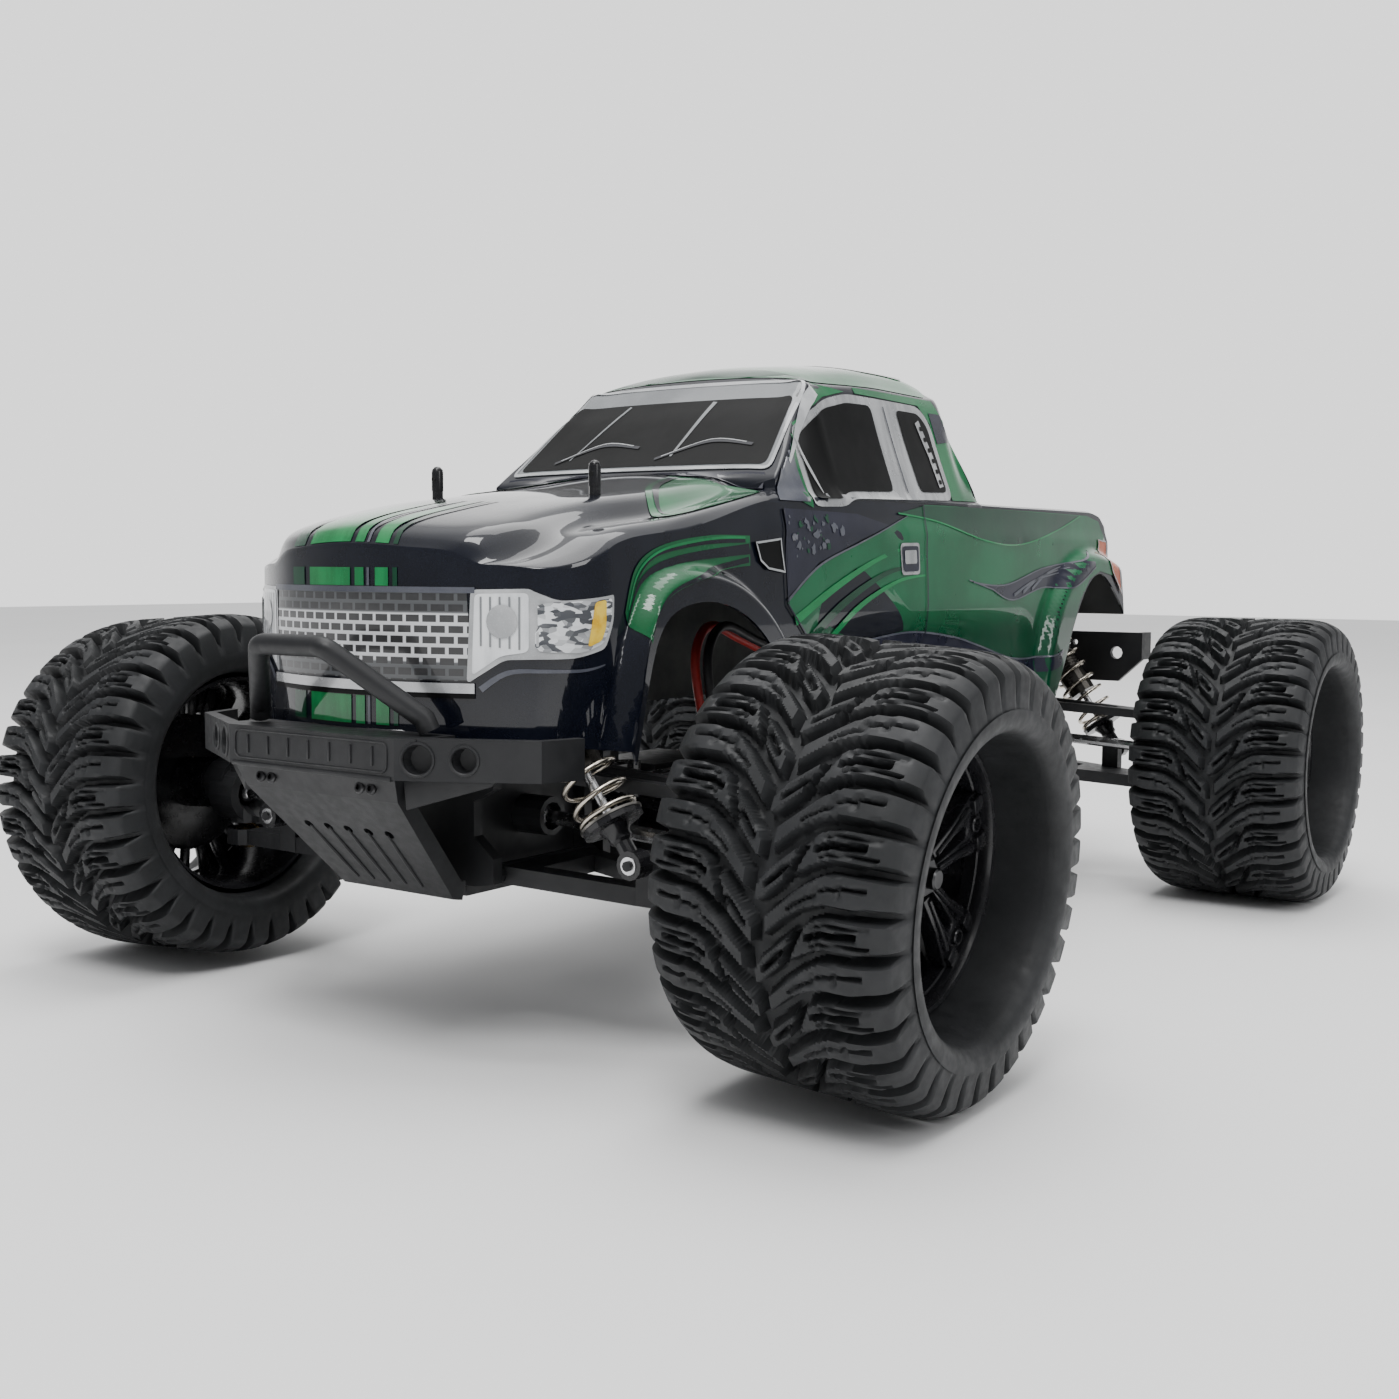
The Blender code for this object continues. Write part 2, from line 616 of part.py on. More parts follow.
def build_corner(side, end, surfaces, corner_parent):
    axle_y = FRONT_AXLE_Y if end == FRONT else REAR_AXLE_Y
    name = ("front" if end == FRONT else "rear") + ("_left" if side == LEFT else "_right")
    mirror = (side, end)
    camber = FRONT_CAMBER if end == FRONT else 0.0
    lift = FRONT_WHEEL_LIFT if end == FRONT else 0.0

    def place(item, kind, surface, origin, turn=0.0):
        return finish(item, name + "_" + kind, surface, origin, mirror, axle_y, corner_parent, turn)

    place(lower_arm(), "lower_arm", surfaces["plastic"], (ARM_INNER_X, 0, LOWER_PIVOT_Z + ARM_DROP))
    place(upper_arm(), "upper_arm", surfaces["plastic"], (ARM_INNER_X, 0, UPPER_PIVOT_Z + ARM_DROP))
    place(drive_shaft(), "drive_shaft", surfaces["steel"], (ARM_INNER_X, 0, AXLE_Z + ARM_DROP))
    if end == FRONT:
        place(pivot_ball(), "pivot_ball", surfaces["brass"], (PIVOT_X, 0, LOWER_PIVOT_Z))
        place(knuckle(end, camber, lift), "knuckle", surfaces["plastic"], (PIVOT_X, 0, AXLE_Z))
    else:
        place(knuckle(end, camber, lift), "hub_carrier", surfaces["plastic"], (PIVOT_X, 0, LOWER_PIVOT_Z))

    for maker, kind, surface in ((tyre, "tyre", "rubber"), (rim, "rim", "gloss")):
        item = maker()
        item = place(item, kind, surfaces[surface], (0, 0, 0), camber)
        item.location = (side * TRACK / 2, axle_y, AXLE_Z + lift)

    lean = -shock_lean()
    top_x, top_z = SHOCK_TOP
    foot_x, foot_z = SHOCK_FOOT
    for maker, kind, surface, x, z in ((shock_body, "shock_body", "pewter", top_x, top_z),
                                       (shock_spring, "spring", "nickel", top_x, top_z),
                                       (shock_rod, "shock_rod", "steel", foot_x, foot_z)):
        item = place(maker(), kind, surfaces[surface], (0, 0, 0), lean)
        item.location = (side * x, axle_y + end * SHOCK_V, z)


# ---------------------------------------------------------------- chassis and drive train

def gearbox(end):
    """Gear case with the two bulkheads that hold the hinge pins; v runs outwards from the axle."""
    case = box((-24 * MM, -33 * MM, DECK), (24 * MM, 33 * MM, GEARBOX_TOP - 4 * MM))
    roof = prism([(-24 * MM, GEARBOX_TOP - 6 * MM), (24 * MM, GEARBOX_TOP - 6 * MM), (16 * MM, GEARBOX_TOP),
                  (-16 * MM, GEARBOX_TOP)], "y", -31 * MM, 31 * MM)
    pieces = [case, roof]
    outline = [(-30 * MM, DECK), (30 * MM, DECK), (40 * MM, 64 * MM), (40 * MM, 74 * MM), (30 * MM, 82 * MM),
               (30 * MM, 96 * MM), (40 * MM, 101 * MM), (40 * MM, 110 * MM), (30 * MM, GEARBOX_TOP - 0.5 * MM),
               (-30 * MM, GEARBOX_TOP - 0.5 * MM), (-40 * MM, 110 * MM), (-40 * MM, 101 * MM),
               (-30 * MM, 96 * MM), (-30 * MM, 82 * MM), (-40 * MM, 74 * MM), (-40 * MM, 64 * MM)]
    for low in (-36.6 * MM, 31.6 * MM):
        pieces.append(prism(outline, "y", low, low + 5 * MM))
    cuts = []
    for side in (LEFT, RIGHT):
        pieces.append(rod((side * 22 * MM, 0, AXLE_Z + ARM_DROP), (side * 39 * MM, 0, AXLE_Z + ARM_DROP), 8 * MM, 14))
        cuts.append(rod((side * 28 * MM, 0, AXLE_Z + ARM_DROP), (side * 45 * MM, 0, AXLE_Z + ARM_DROP), 5.8 * MM, 12))
    cuts.append(rod((0, -30 * MM, AXLE_Z + ARM_DROP), (0, -40 * MM, AXLE_Z + ARM_DROP), 5.2 * MM, 12))
    return combine(pieces, cuts)


def shock_tower():
    half = [(18 * MM, GEARBOX_TOP + 0.3 * MM), (24 * MM, 132 * MM), (50 * MM, 149 * MM), (50 * MM, 165 * MM),
            (35 * MM, 166 * MM), (20 * MM, 152 * MM)]
    outline = half + [(-x, z) for x, z in reversed(half)]
    plate = prism(outline, "y", 8 * MM, 12 * MM)
    foot = box((-15 * MM, 0, GEARBOX_TOP + 0.3 * MM), (15 * MM, 9 * MM, GEARBOX_TOP + 5 * MM))
    pieces = [plate, foot]
    top_x, top_z = SHOCK_TOP
    for side in (LEFT, RIGHT):
        pieces.append(rod((side * top_x, 11 * MM, top_z), (side * top_x, SHOCK_V + 5.5 * MM, top_z), 2.4 * MM, 8))
    return combine(pieces)


def body_mount(post_top, shelf):
    """Cross bar on the tower with the two posts that carry the body shell."""
    bar = box((-50 * MM, POST_V - 5 * MM, 153 * MM), (50 * MM, POST_V + 5 * MM, 158 * MM))
    neck = box((-11 * MM, POST_V, 152.3 * MM), (11 * MM, 12 * MM, 157 * MM))
    pieces = [bar, neck]
    for side in (LEFT, RIGHT):
        x = side * POST_X
        pieces.append(rod((x, POST_V, 155 * MM), (x, POST_V, post_top), POST_RADIUS, 10))
        pieces.append(rod((x, POST_V, shelf - 3 * MM), (x, POST_V, shelf), 5 * MM, 10))
    return combine(pieces)


def chassis_plate():
    half = [(26 * MM, FRONT_AXLE_Y - 36.6 * MM), (26 * MM, FRONT_AXLE_Y + 40 * MM), (54 * MM, FRONT_AXLE_Y + 76 * MM),
            (54 * MM, REAR_AXLE_Y - 76 * MM), (26 * MM, REAR_AXLE_Y - 40 * MM), (26 * MM, REAR_AXLE_Y + 36.6 * MM)]
    outline = half + [(-x, y) for x, y in reversed(half)]
    pieces = [prism(outline, "z", CHASSIS_BOTTOM, CHASSIS_TOP)]
    for side in (LEFT, RIGHT):
        xs = sorted((side * 54 * MM, side * 51 * MM))
        pieces.append(box((xs[0], FRONT_AXLE_Y + 78 * MM, 59 * MM), (xs[1], REAR_AXLE_Y - 78 * MM, 76 * MM)))
    return combine(pieces)


def front_bumper():
    half = [(44.5 * MM, -316.5 * MM), (91.5 * MM, -291.2 * MM), (97 * MM, -274 * MM), (93 * MM, -273 * MM),
            (88 * MM, -288 * MM), (43 * MM, -311 * MM)]
    outline = [(-44.5 * MM, -316.5 * MM)] + half + [(-x, y) for x, y in reversed(half[1:])]
    outline = [(x, y + FRAME_SHIFT) for x, y in outline]
    pieces = [prism(outline, "z", 111 * MM, 126 * MM)]
    pieces.append(box((-52 * MM, FRAME_SHIFT - 313 * MM, 122 * MM), (52 * MM, FRAME_SHIFT - 293 * MM, 125.8 * MM)))
    profile = [(-316.2, 114), (-311.2, 102), (-271.5, 59), (-266.5, 58), (-266.5, 66), (-269.0, 66),
               (-307.0, 106), (-311.0, 116)]
    vertices = []
    for side in (LEFT, RIGHT):
        for y, z in profile:
            width = 30 + 0.25 * (z - 58)
            vertices.append((side * width * MM, y * MM + FRAME_SHIFT, z * MM))
    count = len(profile)
    faces = [tuple(range(count)), tuple(range(count, 2 * count))]
    faces += [(k, (k + 1) % count, count + (k + 1) % count, count + k) for k in range(count)]
    pieces.append(solid(vertices, faces))
    cuts = []
    for side in (LEFT, RIGHT):
        for x, radius in ((52, 5.4), (67, 4.6)):
            y = -316.5 + (x - 44.5) * 0.54
            cuts.append(rod((side * x * MM, (y - 8) * MM + FRAME_SHIFT, 118.6 * MM),
                            (side * x * MM, (y + 9) * MM + FRAME_SHIFT, 118.6 * MM), radius * MM, 14))
    for k in range(5):
        x = (k - 2) * 11 * MM
        cuts.append(rod((x, FRAME_SHIFT - 306 * MM, 80 * MM), (x, FRAME_SHIFT - 280 * MM, 100 * MM), 2.2 * MM, 8))
    return combine(pieces, cuts)


def bull_bar():
    y = FRAME_SHIFT
    left = [(46, -300, 128.0), (44.6, -301.2, 132), (20.5, -321.5, 155), (17, -323.5, 157.4), (13.5, -323.5, 158)]
    points = [(a * MM, b * MM + y, c * MM) for a, b, c in left]
    points += [(-a * MM, b * MM + y, c * MM) for a, b, c in reversed(left)]
    return tube(points, 4.0 * MM, 10)


def rear_bumper():
    y = FRAME_SHIFT + 270 * MM
    half = [(105.6 * MM, 148 * MM), (105.6 * MM, 131 * MM), (90.4 * MM, 117 * MM)]
    outline = half + [(-x, z) for x, z in reversed(half)]
    pieces = [prism(outline, "y", y, y + 4 * MM)]
    pieces.append(box((-26 * MM, y - 9.5 * MM, 96 * MM), (26 * MM, y + 3 * MM, 122 * MM)))
    cuts = []
    for side in (LEFT, RIGHT):
        xs = sorted((side * 105.6 * MM, side * 101.6 * MM))
        pieces.append(box((xs[0], y + 1 * MM, 131 * MM), (xs[1], y + 16 * MM, 148 * MM)))
        for x, z, radius in ((57, 141, 1.8), (61.5, 141, 1.8), (89, 135, 4.0)):
            cuts.append(rod((side * x * MM, y - 4 * MM, z * MM), (side * x * MM, y + 8 * MM, z * MM), radius * MM, 10))
    return combine(pieces, cuts)


def steering_link():
    z = TIE_OUTER_Z + ARM_DROP
    bar = box((-37 * MM, LINK_V - 1.6 * MM, z + 0.6 * MM), (37 * MM, LINK_V + 1.6 * MM, z + 5.4 * MM))
    x = BELLCRANK_X
    tongue = box((x - 6 * MM, LINK_V - 13 * MM, z + 1 * MM), (x + 6 * MM, LINK_V + 1 * MM, z + 4 * MM))
    slot = box((x - 2.4 * MM, LINK_V - 11 * MM, z - 2 * MM), (x + 2.4 * MM, LINK_V - 3.6 * MM, z + 8 * MM))
    pieces = [bar, tongue]
    for side in (LEFT, RIGHT):
        xs = sorted((side * 31 * MM, side * 37.8 * MM))
        pieces.append(box((xs[0], LINK_V - 1.3 * MM, z - 3 * MM), (xs[1], LINK_V + 1.3 * MM, z + 5 * MM)))
        x = side * ARM_INNER_X
        pieces.append(rod((x, LINK_V, z), (x, TIE_INNER_V + 2.2 * MM, z), 1.8 * MM, 8))
    return combine(pieces, [slot])


def tie_rod():
    z = TIE_OUTER_Z + ARM_DROP
    inner = (ARM_INNER_X, TIE_INNER_V, z)
    outer = (PIVOT_X, TIE_OUTER_V, TIE_OUTER_Z)
    shaft = rod((ARM_INNER_X + 3 * MM, TIE_INNER_V + 0.4 * MM, z - 0.2 * MM),
                (PIVOT_X - 4.5 * MM, TIE_OUTER_V - 0.6 * MM, TIE_OUTER_Z + 0.3 * MM), 2.0 * MM, 8)
    small = rod((ARM_INNER_X, TIE_INNER_V - 1.9 * MM, z), (ARM_INNER_X, TIE_INNER_V + 1.9 * MM, z), 4.6 * MM, 10)
    large = rod((PIVOT_X, TIE_OUTER_V, TIE_OUTER_Z - 2.5 * MM), (PIVOT_X, TIE_OUTER_V, TIE_OUTER_Z + 2.5 * MM),
                6.2 * MM, 12)
    bores = [rod((inner[0], inner[1] - 6 * MM, z), (inner[0], inner[1] + 6 * MM, z), 2.3 * MM, 8),
             rod((outer[0], outer[1], outer[2] - 6 * MM), (outer[0], outer[1], outer[2] + 6 * MM), 4.0 * MM, 10)]
    return combine([shaft, small, large], bores)


def bellcrank():
    z = TIE_OUTER_Z + ARM_DROP
    x = BELLCRANK_X
    pivot_v = LINK_V - 6 * MM - BELLCRANK_LENGTH
    post = rod((x, pivot_v, DECK), (x, pivot_v, z + 10 * MM), 6 * MM, 14)
    arm = box((x - 3.5 * MM, pivot_v, z + 5.9 * MM), (x + 3.5 * MM, LINK_V - 3 * MM, z + 9.4 * MM))
    pin = rod((x, LINK_V - 6 * MM, z + 0.2 * MM), (x, LINK_V - 6 * MM, z + 7 * MM), 1.6 * MM, 8)
    horn = box((-20 * MM, pivot_v - 3.5 * MM, z + 6.2 * MM), (x, pivot_v + 3.5 * MM, z + 9.2 * MM))
    return combine([post, arm, pin, horn])


def centre_shaft():
    z = AXLE_Z + ARM_DROP
    start = FRONT_AXLE_Y + 32 * MM
    end = REAR_AXLE_Y - 32 * MM
    shaft = rod((0, start, z), (0, end, z), 3.6 * MM, 10)
    gear = rod((0, 96 * MM, z), (0, 103 * MM, z), 22 * MM, 24)
    return combine([shaft, gear])


def motor():
    can = stepped((-31 * MM, 14 * MM, 86 * MM), (-31 * MM, 88 * MM, 86 * MM),
                  ((17 * MM, 0.0), (21 * MM, 4 * MM), (21 * MM, 70 * MM), (16 * MM, 74 * MM)), 20)
    foot = box((-46 * MM, 18 * MM, DECK), (-16 * MM, 84 * MM, 70 * MM))
    return combine([can, foot])


def lead(offset):
    route = [(34, -86.0, 80), (34, -96, 88), (36, -112, 116), (36, -119, 142), (34, -112, 156), (32, -98, 160),
             (30, -76, 154), (27, -50, 147), (20, -26, 142), (8, -20, 132), (-6, -28, 114), (-14, -38, 100),
             (-16, -44, 93.6)]
    last = len(route) - 1
    points = []
    for k, (x, y, z) in enumerate(route):
        drift = offset * k / last
        points.append(((x + offset) * MM, (y + 1.2 * drift) * MM + FRAME_SHIFT, z * MM))
    return tube(points, 2.2 * MM, 6)


def build_centre(surfaces, root):
    def put(item, name, surface, origin=(0, 0, 0), mirror=(1, 1), axle_y=0.0):
        return finish(item, name, surfaces[surface], origin, mirror, axle_y, root)

    put(chassis_plate(), "chassis_plate", "plastic")
    for end, label, axle_y in ((FRONT, "front", FRONT_AXLE_Y), (REAR, "rear", REAR_AXLE_Y)):
        put(gearbox(end), label + "_gearbox", "plastic", (0, 0, AXLE_Z), (1, end), axle_y)
        put(shock_tower(), label + "_shock_tower", "plastic", (0, 0, 140 * MM), (1, end), axle_y)
    put(body_mount(229 * MM, 212 * MM), "front_body_mount", "gloss", (0, POST_V, 155 * MM), (1, FRONT), FRONT_AXLE_Y)
    put(body_mount(206 * MM, 195.6 * MM), "rear_body_mount", "gloss", (0, POST_V, 155 * MM), (1, REAR), REAR_AXLE_Y)
    put(front_bumper(), "front_bumper", "plastic")
    put(bull_bar(), "bull_bar", "plastic")
    put(rear_bumper(), "rear_bumper", "plastic")
    battery = box((8 * MM, FRAME_SHIFT - 84 * MM, DECK), (49 * MM, FRAME_SHIFT + 54 * MM, 88 * MM))
    put(battery, "battery_pack", "blue")
    put(motor(), "motor", "pewter")
    controller = box((-49 * MM, FRAME_SHIFT - 90 * MM, DECK), (-8 * MM, FRAME_SHIFT - 32 * MM, 91 * MM))
    put(controller, "speed_controller", "dark")
    servo = box((-48 * MM, FRAME_SHIFT - 122 * MM, DECK), (-26 * MM, FRAME_SHIFT - 96 * MM, 100 * MM))
    put(servo, "steering_servo", "dark")
    put(lead(0.0), "battery_lead_red", "red")
    put(lead(5.6), "battery_lead_black", "dark")
    put(centre_shaft(), "centre_shaft", "steel", (0, 0, AXLE_Z + ARM_DROP))
    pivot = (BELLCRANK_X, LINK_V - 6 * MM - BELLCRANK_LENGTH, 70 * MM)
    put(bellcrank(), "steering_bellcrank", "gloss", pivot, (1, FRONT), FRONT_AXLE_Y)
    put(steering_link(), "steering_link", "gloss", (0, LINK_V, TIE_OUTER_Z + ARM_DROP), (1, FRONT), FRONT_AXLE_Y)
    for side, label in ((LEFT, "left"), (RIGHT, "right")):
        origin = (ARM_INNER_X, TIE_INNER_V, TIE_OUTER_Z + ARM_DROP)
        put(tie_rod(), label + "_tie_rod", "gloss", origin, (side, FRONT), FRONT_AXLE_Y)


def main():
    clear_scene()
    surfaces = {
        "plastic": material("black_nylon", (0.018, 0.018, 0.02), 0.5),
        "gloss": material("black_plastic", (0.012, 0.012, 0.014), 0.3),
        "dark": material("dark_case", (0.03, 0.03, 0.034), 0.45),
        "rubber": material("tyre_rubber", (0.025, 0.025, 0.026), 0.8),
        "steel": material("bright_steel", (0.62, 0.62, 0.63), 0.25, 1.0),
        "pewter": material("anodised_aluminium", (0.36, 0.35, 0.33), 0.35, 1.0),
        "nickel": material("spring_nickel", (0.66, 0.6, 0.5), 0.3, 1.0),
        "brass": material("pivot_brass", (0.72, 0.5, 0.2), 0.3, 1.0),
        "blue": material("battery_wrap", (0.03, 0.06, 0.2), 0.4),
        "red": material("lead_red", (0.5, 0.02, 0.02), 0.5),
        "paint": material("shell_paint", (0.02, 0.2, 0.1), 0.15),
    }
    root = bpy.data.objects.new("truck", None)
    bpy.context.collection.objects.link(root)
    body_shell(surfaces["paint"]).parent = root
    build_centre(surfaces, root)
    for end in (FRONT, REAR):
        for side in (LEFT, RIGHT):
            build_corner(side, end, surfaces, root)


main()
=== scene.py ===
"""Looks of the radio-controlled monster truck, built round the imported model."""

import math
import random

import bmesh
import bpy
from mathutils import Matrix, Vector
from mathutils.geometry import delaunay_2d_cdt


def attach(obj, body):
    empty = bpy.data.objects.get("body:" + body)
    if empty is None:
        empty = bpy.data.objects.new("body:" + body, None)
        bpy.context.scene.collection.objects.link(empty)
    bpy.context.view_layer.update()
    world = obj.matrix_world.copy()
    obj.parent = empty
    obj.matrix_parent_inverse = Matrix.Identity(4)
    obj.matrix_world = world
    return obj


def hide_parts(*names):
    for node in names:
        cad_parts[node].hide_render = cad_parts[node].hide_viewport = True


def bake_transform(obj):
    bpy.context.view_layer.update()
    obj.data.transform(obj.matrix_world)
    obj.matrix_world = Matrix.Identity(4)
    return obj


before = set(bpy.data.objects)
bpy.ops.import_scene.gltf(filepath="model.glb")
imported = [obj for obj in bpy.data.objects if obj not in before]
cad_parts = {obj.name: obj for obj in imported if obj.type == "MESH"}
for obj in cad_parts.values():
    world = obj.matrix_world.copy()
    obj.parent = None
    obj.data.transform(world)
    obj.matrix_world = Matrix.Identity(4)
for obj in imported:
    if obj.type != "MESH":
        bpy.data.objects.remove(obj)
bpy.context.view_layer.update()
random.seed(7)

MM = 0.001

# ------------------------------------------------------------------ sizes, metres
SHIFT = 11.6 * MM
FRONT_Y = SHIFT - 223.2 * MM
REAR_Y = SHIFT + 223.2 * MM
HALF_TRACK = 188.0 * MM
AXLE_Z = 80.0 * MM
CAMBER = math.radians(3.8)
FRONT_LIFT = 2.1 * MM
SHOCK_V = 25.0 * MM
SHOCK_TOP = (42.0 * MM, 158.0 * MM)
SHOCK_FOOT = (100.0 * MM, 77.0 * MM)
POST_X = 44.0 * MM
POST_INBOARD = 20.8 * MM
POST_HEIGHTS = ((-1, 229), (1, 206))
SHELL_WALL = 1.2 * MM
RIM_SEGMENTS = 96
SPRING_RADIUS = 11.3 * MM
SPRING_WIRE = 1.1 * MM
SPRING_TURNS = 7.2
SPRING_STEPS = 260
CLOSED_TURNS = 0.8
CLOSED_RISE = 2.0
THREAD_TURNS = 9
THREAD_STEPS = 24
THREAD_RADIUS = 8.35 * MM
THREAD_PITCH = 2.0 * MM
CORNERS = (("front_left", 1, -1), ("front_right", -1, -1), ("rear_left", 1, 1), ("rear_right", -1, 1))


def axle_y(end):
    return FRONT_Y if end < 0 else REAR_Y


def shock_line(side, end):
    """Upper and lower eye of a corner's shock."""
    y = axle_y(end) + end * SHOCK_V
    return Vector((side * SHOCK_TOP[0], y, SHOCK_TOP[1])), Vector((side * SHOCK_FOOT[0], y, SHOCK_FOOT[1]))


# ------------------------------------------------------------------ small tools
def smoothstep(low, high, value):
    share = min(max((value - low) / (high - low), 0.0), 1.0)
    return share * share * (3 - 2 * share)


def glide(line, at):
    """Smooth curve through (position, value) pairs that never overshoots."""
    if at <= line[0][0]:
        return line[0][1]
    if at >= line[-1][0]:
        return line[-1][1]
    k = 0
    while at > line[k + 1][0]:
        k += 1

    def slope(j):
        if j < 0 or j >= len(line) - 1:
            return None
        return (line[j + 1][1] - line[j][1]) / (line[j + 1][0] - line[j][0])

    def tangent(j):
        left = slope(j - 1)
        right = slope(j)
        if left is None:
            return right
        if right is None:
            return left
        if left * right <= 0:
            return 0.0
        return 2 * left * right / (left + right)

    x0, y0 = line[k]
    x1, y1 = line[k + 1]
    h = x1 - x0
    t = (at - x0) / h
    m0 = tangent(k) * h
    m1 = tangent(k + 1) * h
    return ((2 * t ** 3 - 3 * t ** 2 + 1) * y0 + (t ** 3 - 2 * t ** 2 + t) * m0
            + (3 * t ** 2 - 2 * t ** 3) * y1 + (t ** 3 - t ** 2) * m1)


def spline(points, steps, closed=False):
    """Rounded line through points, steps pieces to a span."""
    count = len(points)
    out = []
    spans = count if closed else count - 1
    for k in range(spans):
        p = []
        for j in (k - 1, k, k + 1, k + 2):
            if closed:
                p.append(points[j % count])
            else:
                p.append(points[min(max(j, 0), count - 1)])
        for s in range(steps):
            t = s / steps
            value = []
            for a, b, c, d in zip(*p):
                value.append(0.5 * (2 * b + (c - a) * t + (2 * a - 5 * b + 4 * c - d) * t * t
                                    + (3 * b - a - 3 * c + d) * t ** 3))
            out.append(tuple(value))
    if not closed:
        out.append(tuple(points[-1]))
    return out


def make(name, vertices, faces, material, smooth=40.0):
    mesh = bpy.data.meshes.new(name)
    mesh.from_pydata([tuple(v) for v in vertices], [], faces)
    mesh.update()
    item = bpy.data.objects.new(name, mesh)
    bpy.context.collection.objects.link(item)
    if material is not None:
        mesh.materials.append(material)
    if smooth:
        for face in mesh.polygons:
            face.use_smooth = True
        mesh.set_sharp_from_angle(angle=math.radians(smooth))
    return item


def outward(item):
    bm = bmesh.new()
    bm.from_mesh(item.data)
    bmesh.ops.recalc_face_normals(bm, faces=bm.faces)
    bm.to_mesh(item.data)
    bm.free()
    return item


def axis_frame(start, end):
    direction = (Vector(end) - Vector(start)).normalized()
    turn = direction.to_track_quat("Z", "Y").to_matrix().to_4x4()
    return Matrix.Translation(Vector(start)) @ turn


def turned(name, start, end, steps, material, segments=32, smooth=35.0):
    """Turned piece: steps holds (radius, distance from start)."""
    frame_ = axis_frame(start, end)
    vertices = []
    for radius, along in steps:
        for k in range(segments):
            a = 2 * math.pi * k / segments
            vertices.append(frame_ @ Vector((radius * math.cos(a), radius * math.sin(a), along)))
    faces = [tuple(range(segments))[::-1], tuple(range((len(steps) - 1) * segments, len(steps) * segments))]
    for level in range(len(steps) - 1):
        for k in range(segments):
            m = (k + 1) % segments
            low = level * segments
            faces.append((low + k, low + m, low + segments + m, low + segments + k))
    return outward(make(name, vertices, faces, material, smooth))


def tube(name, points, radius, material, sides=12, smooth=60.0):
    path = [Vector(p) for p in points]
    count = len(path)
    vertices = []
    side = None
    for k, point in enumerate(path):
        direction = (path[min(k + 1, count - 1)] - path[max(k - 1, 0)]).normalized()
        if side is None:
            side = direction.orthogonal().normalized()
        side = (side - direction * side.dot(direction)).normalized()
        other = direction.cross(side)
        r = radius(k / (count - 1)) if callable(radius) else radius
        for s in range(sides):
            a = 2 * math.pi * s / sides
            vertices.append(point + side * r * math.cos(a) + other * r * math.sin(a))
    faces = [tuple(range(sides))[::-1], tuple(range((count - 1) * sides, count * sides))]
    for k in range(count - 1):
        for s in range(sides):
            m = (s + 1) % sides
            low = k * sides
            faces.append((low + s, low + m, low + sides + m, low + sides + s))
    return outward(make(name, vertices, faces, material, smooth))


def block(name, low, high, material, bevel=0.4 * MM):
    x0, y0, z0 = low
    x1, y1, z1 = high
    corners = [(x, y, z) for z in (z0, z1) for y in (y0, y1) for x in (x0, x1)]
    faces = [(0, 1, 3, 2), (4, 5, 7, 6), (0, 1, 5, 4), (2, 3, 7, 6), (0, 2, 6, 4), (1, 3, 7, 5)]
    item = outward(make(name, corners, faces, material, 30))
    return rounded(item, bevel)


def rounded(item, width, segments=2, angle=30.0):
    if width > 0:
        step = item.modifiers.new("edges", "BEVEL")
        step.width = width
        step.segments = segments
        step.limit_method = "ANGLE"
        step.angle_limit = math.radians(angle)
        step.harden_normals = False
        bake(item)
        for face in item.data.polygons:
            face.use_smooth = True
        item.data.set_sharp_from_angle(angle=math.radians(angle))
    return item


def bake(item):
    graph = bpy.context.evaluated_depsgraph_get()
    mesh = bpy.data.meshes.new_from_object(item.evaluated_get(graph))
    item.modifiers.clear()
    item.data = mesh
    return item


def prism(name, outline, axis, low, high, material, bevel=0.4 * MM):
    vertices = []
    for level in (low, high):
        for a, b in outline:
            vertices.append({"x": (level, a, b), "y": (a, level, b), "z": (a, b, level)}[axis])
    count = len(outline)
    faces = [tuple(range(count)), tuple(range(count, 2 * count))]
    for k in range(count):
        m = (k + 1) % count
        faces.append((k, m, count + m, count + k))
    return rounded(outward(make(name, vertices, faces, material, 30)), bevel)


def join(name, items):
    """One object from several pieces of the same material set."""
    bm = bmesh.new()
    materials = []
    for item in items:
        offset = len(materials)
        for m in item.data.materials:
            materials.append(m)
        copy = item.data.copy()
        copy.transform(item.matrix_world)
        start = len(bm.faces)
        bm.from_mesh(copy)
        bm.faces.ensure_lookup_table()
        for k in range(start, len(bm.faces)):
            bm.faces[k].material_index += offset
        bpy.data.objects.remove(item, do_unlink=True)
    mesh = bpy.data.meshes.new(name)
    bm.to_mesh(mesh)
    bm.free()
    for m in materials:
        mesh.materials.append(m)
    result = bpy.data.objects.new(name, mesh)
    bpy.context.collection.objects.link(result)
    return result


def mirrored(item, name):
    """Copy of a piece on the other side of the truck."""
    mesh = item.data.copy()
    bm = bmesh.new()
    bm.from_mesh(mesh)
    for v in bm.verts:
        v.co.x = -v.co.x
    bmesh.ops.reverse_faces(bm, faces=bm.faces)
    bm.to_mesh(mesh)
    bm.free()
    other = bpy.data.objects.new(name, mesh)
    bpy.context.collection.objects.link(other)
    return other


# ------------------------------------------------------------------ materials
def start_material(name):
    material = bpy.data.materials.new(name)
    material.use_nodes = True
    tree = material.node_tree
    return material, tree, tree.nodes["Principled BSDF"]


def add(tree, kind, **values):
    node = tree.nodes.new(kind)
    for key, value in values.items():
        setattr(node, key, value)
    return node


def put(node, **values):
    for key, value in values.items():
        node.inputs[key.replace("_", " ")].default_value = value
    return node


def coordinates(tree, scale=(1, 1, 1)):
    place = add(tree, "ShaderNodeTexCoord")
    mapping = add(tree, "ShaderNodeMapping")
    mapping.inputs["Scale"].default_value = scale
    tree.links.new(place.outputs["Object"], mapping.inputs["Vector"])
    return mapping.outputs["Vector"]


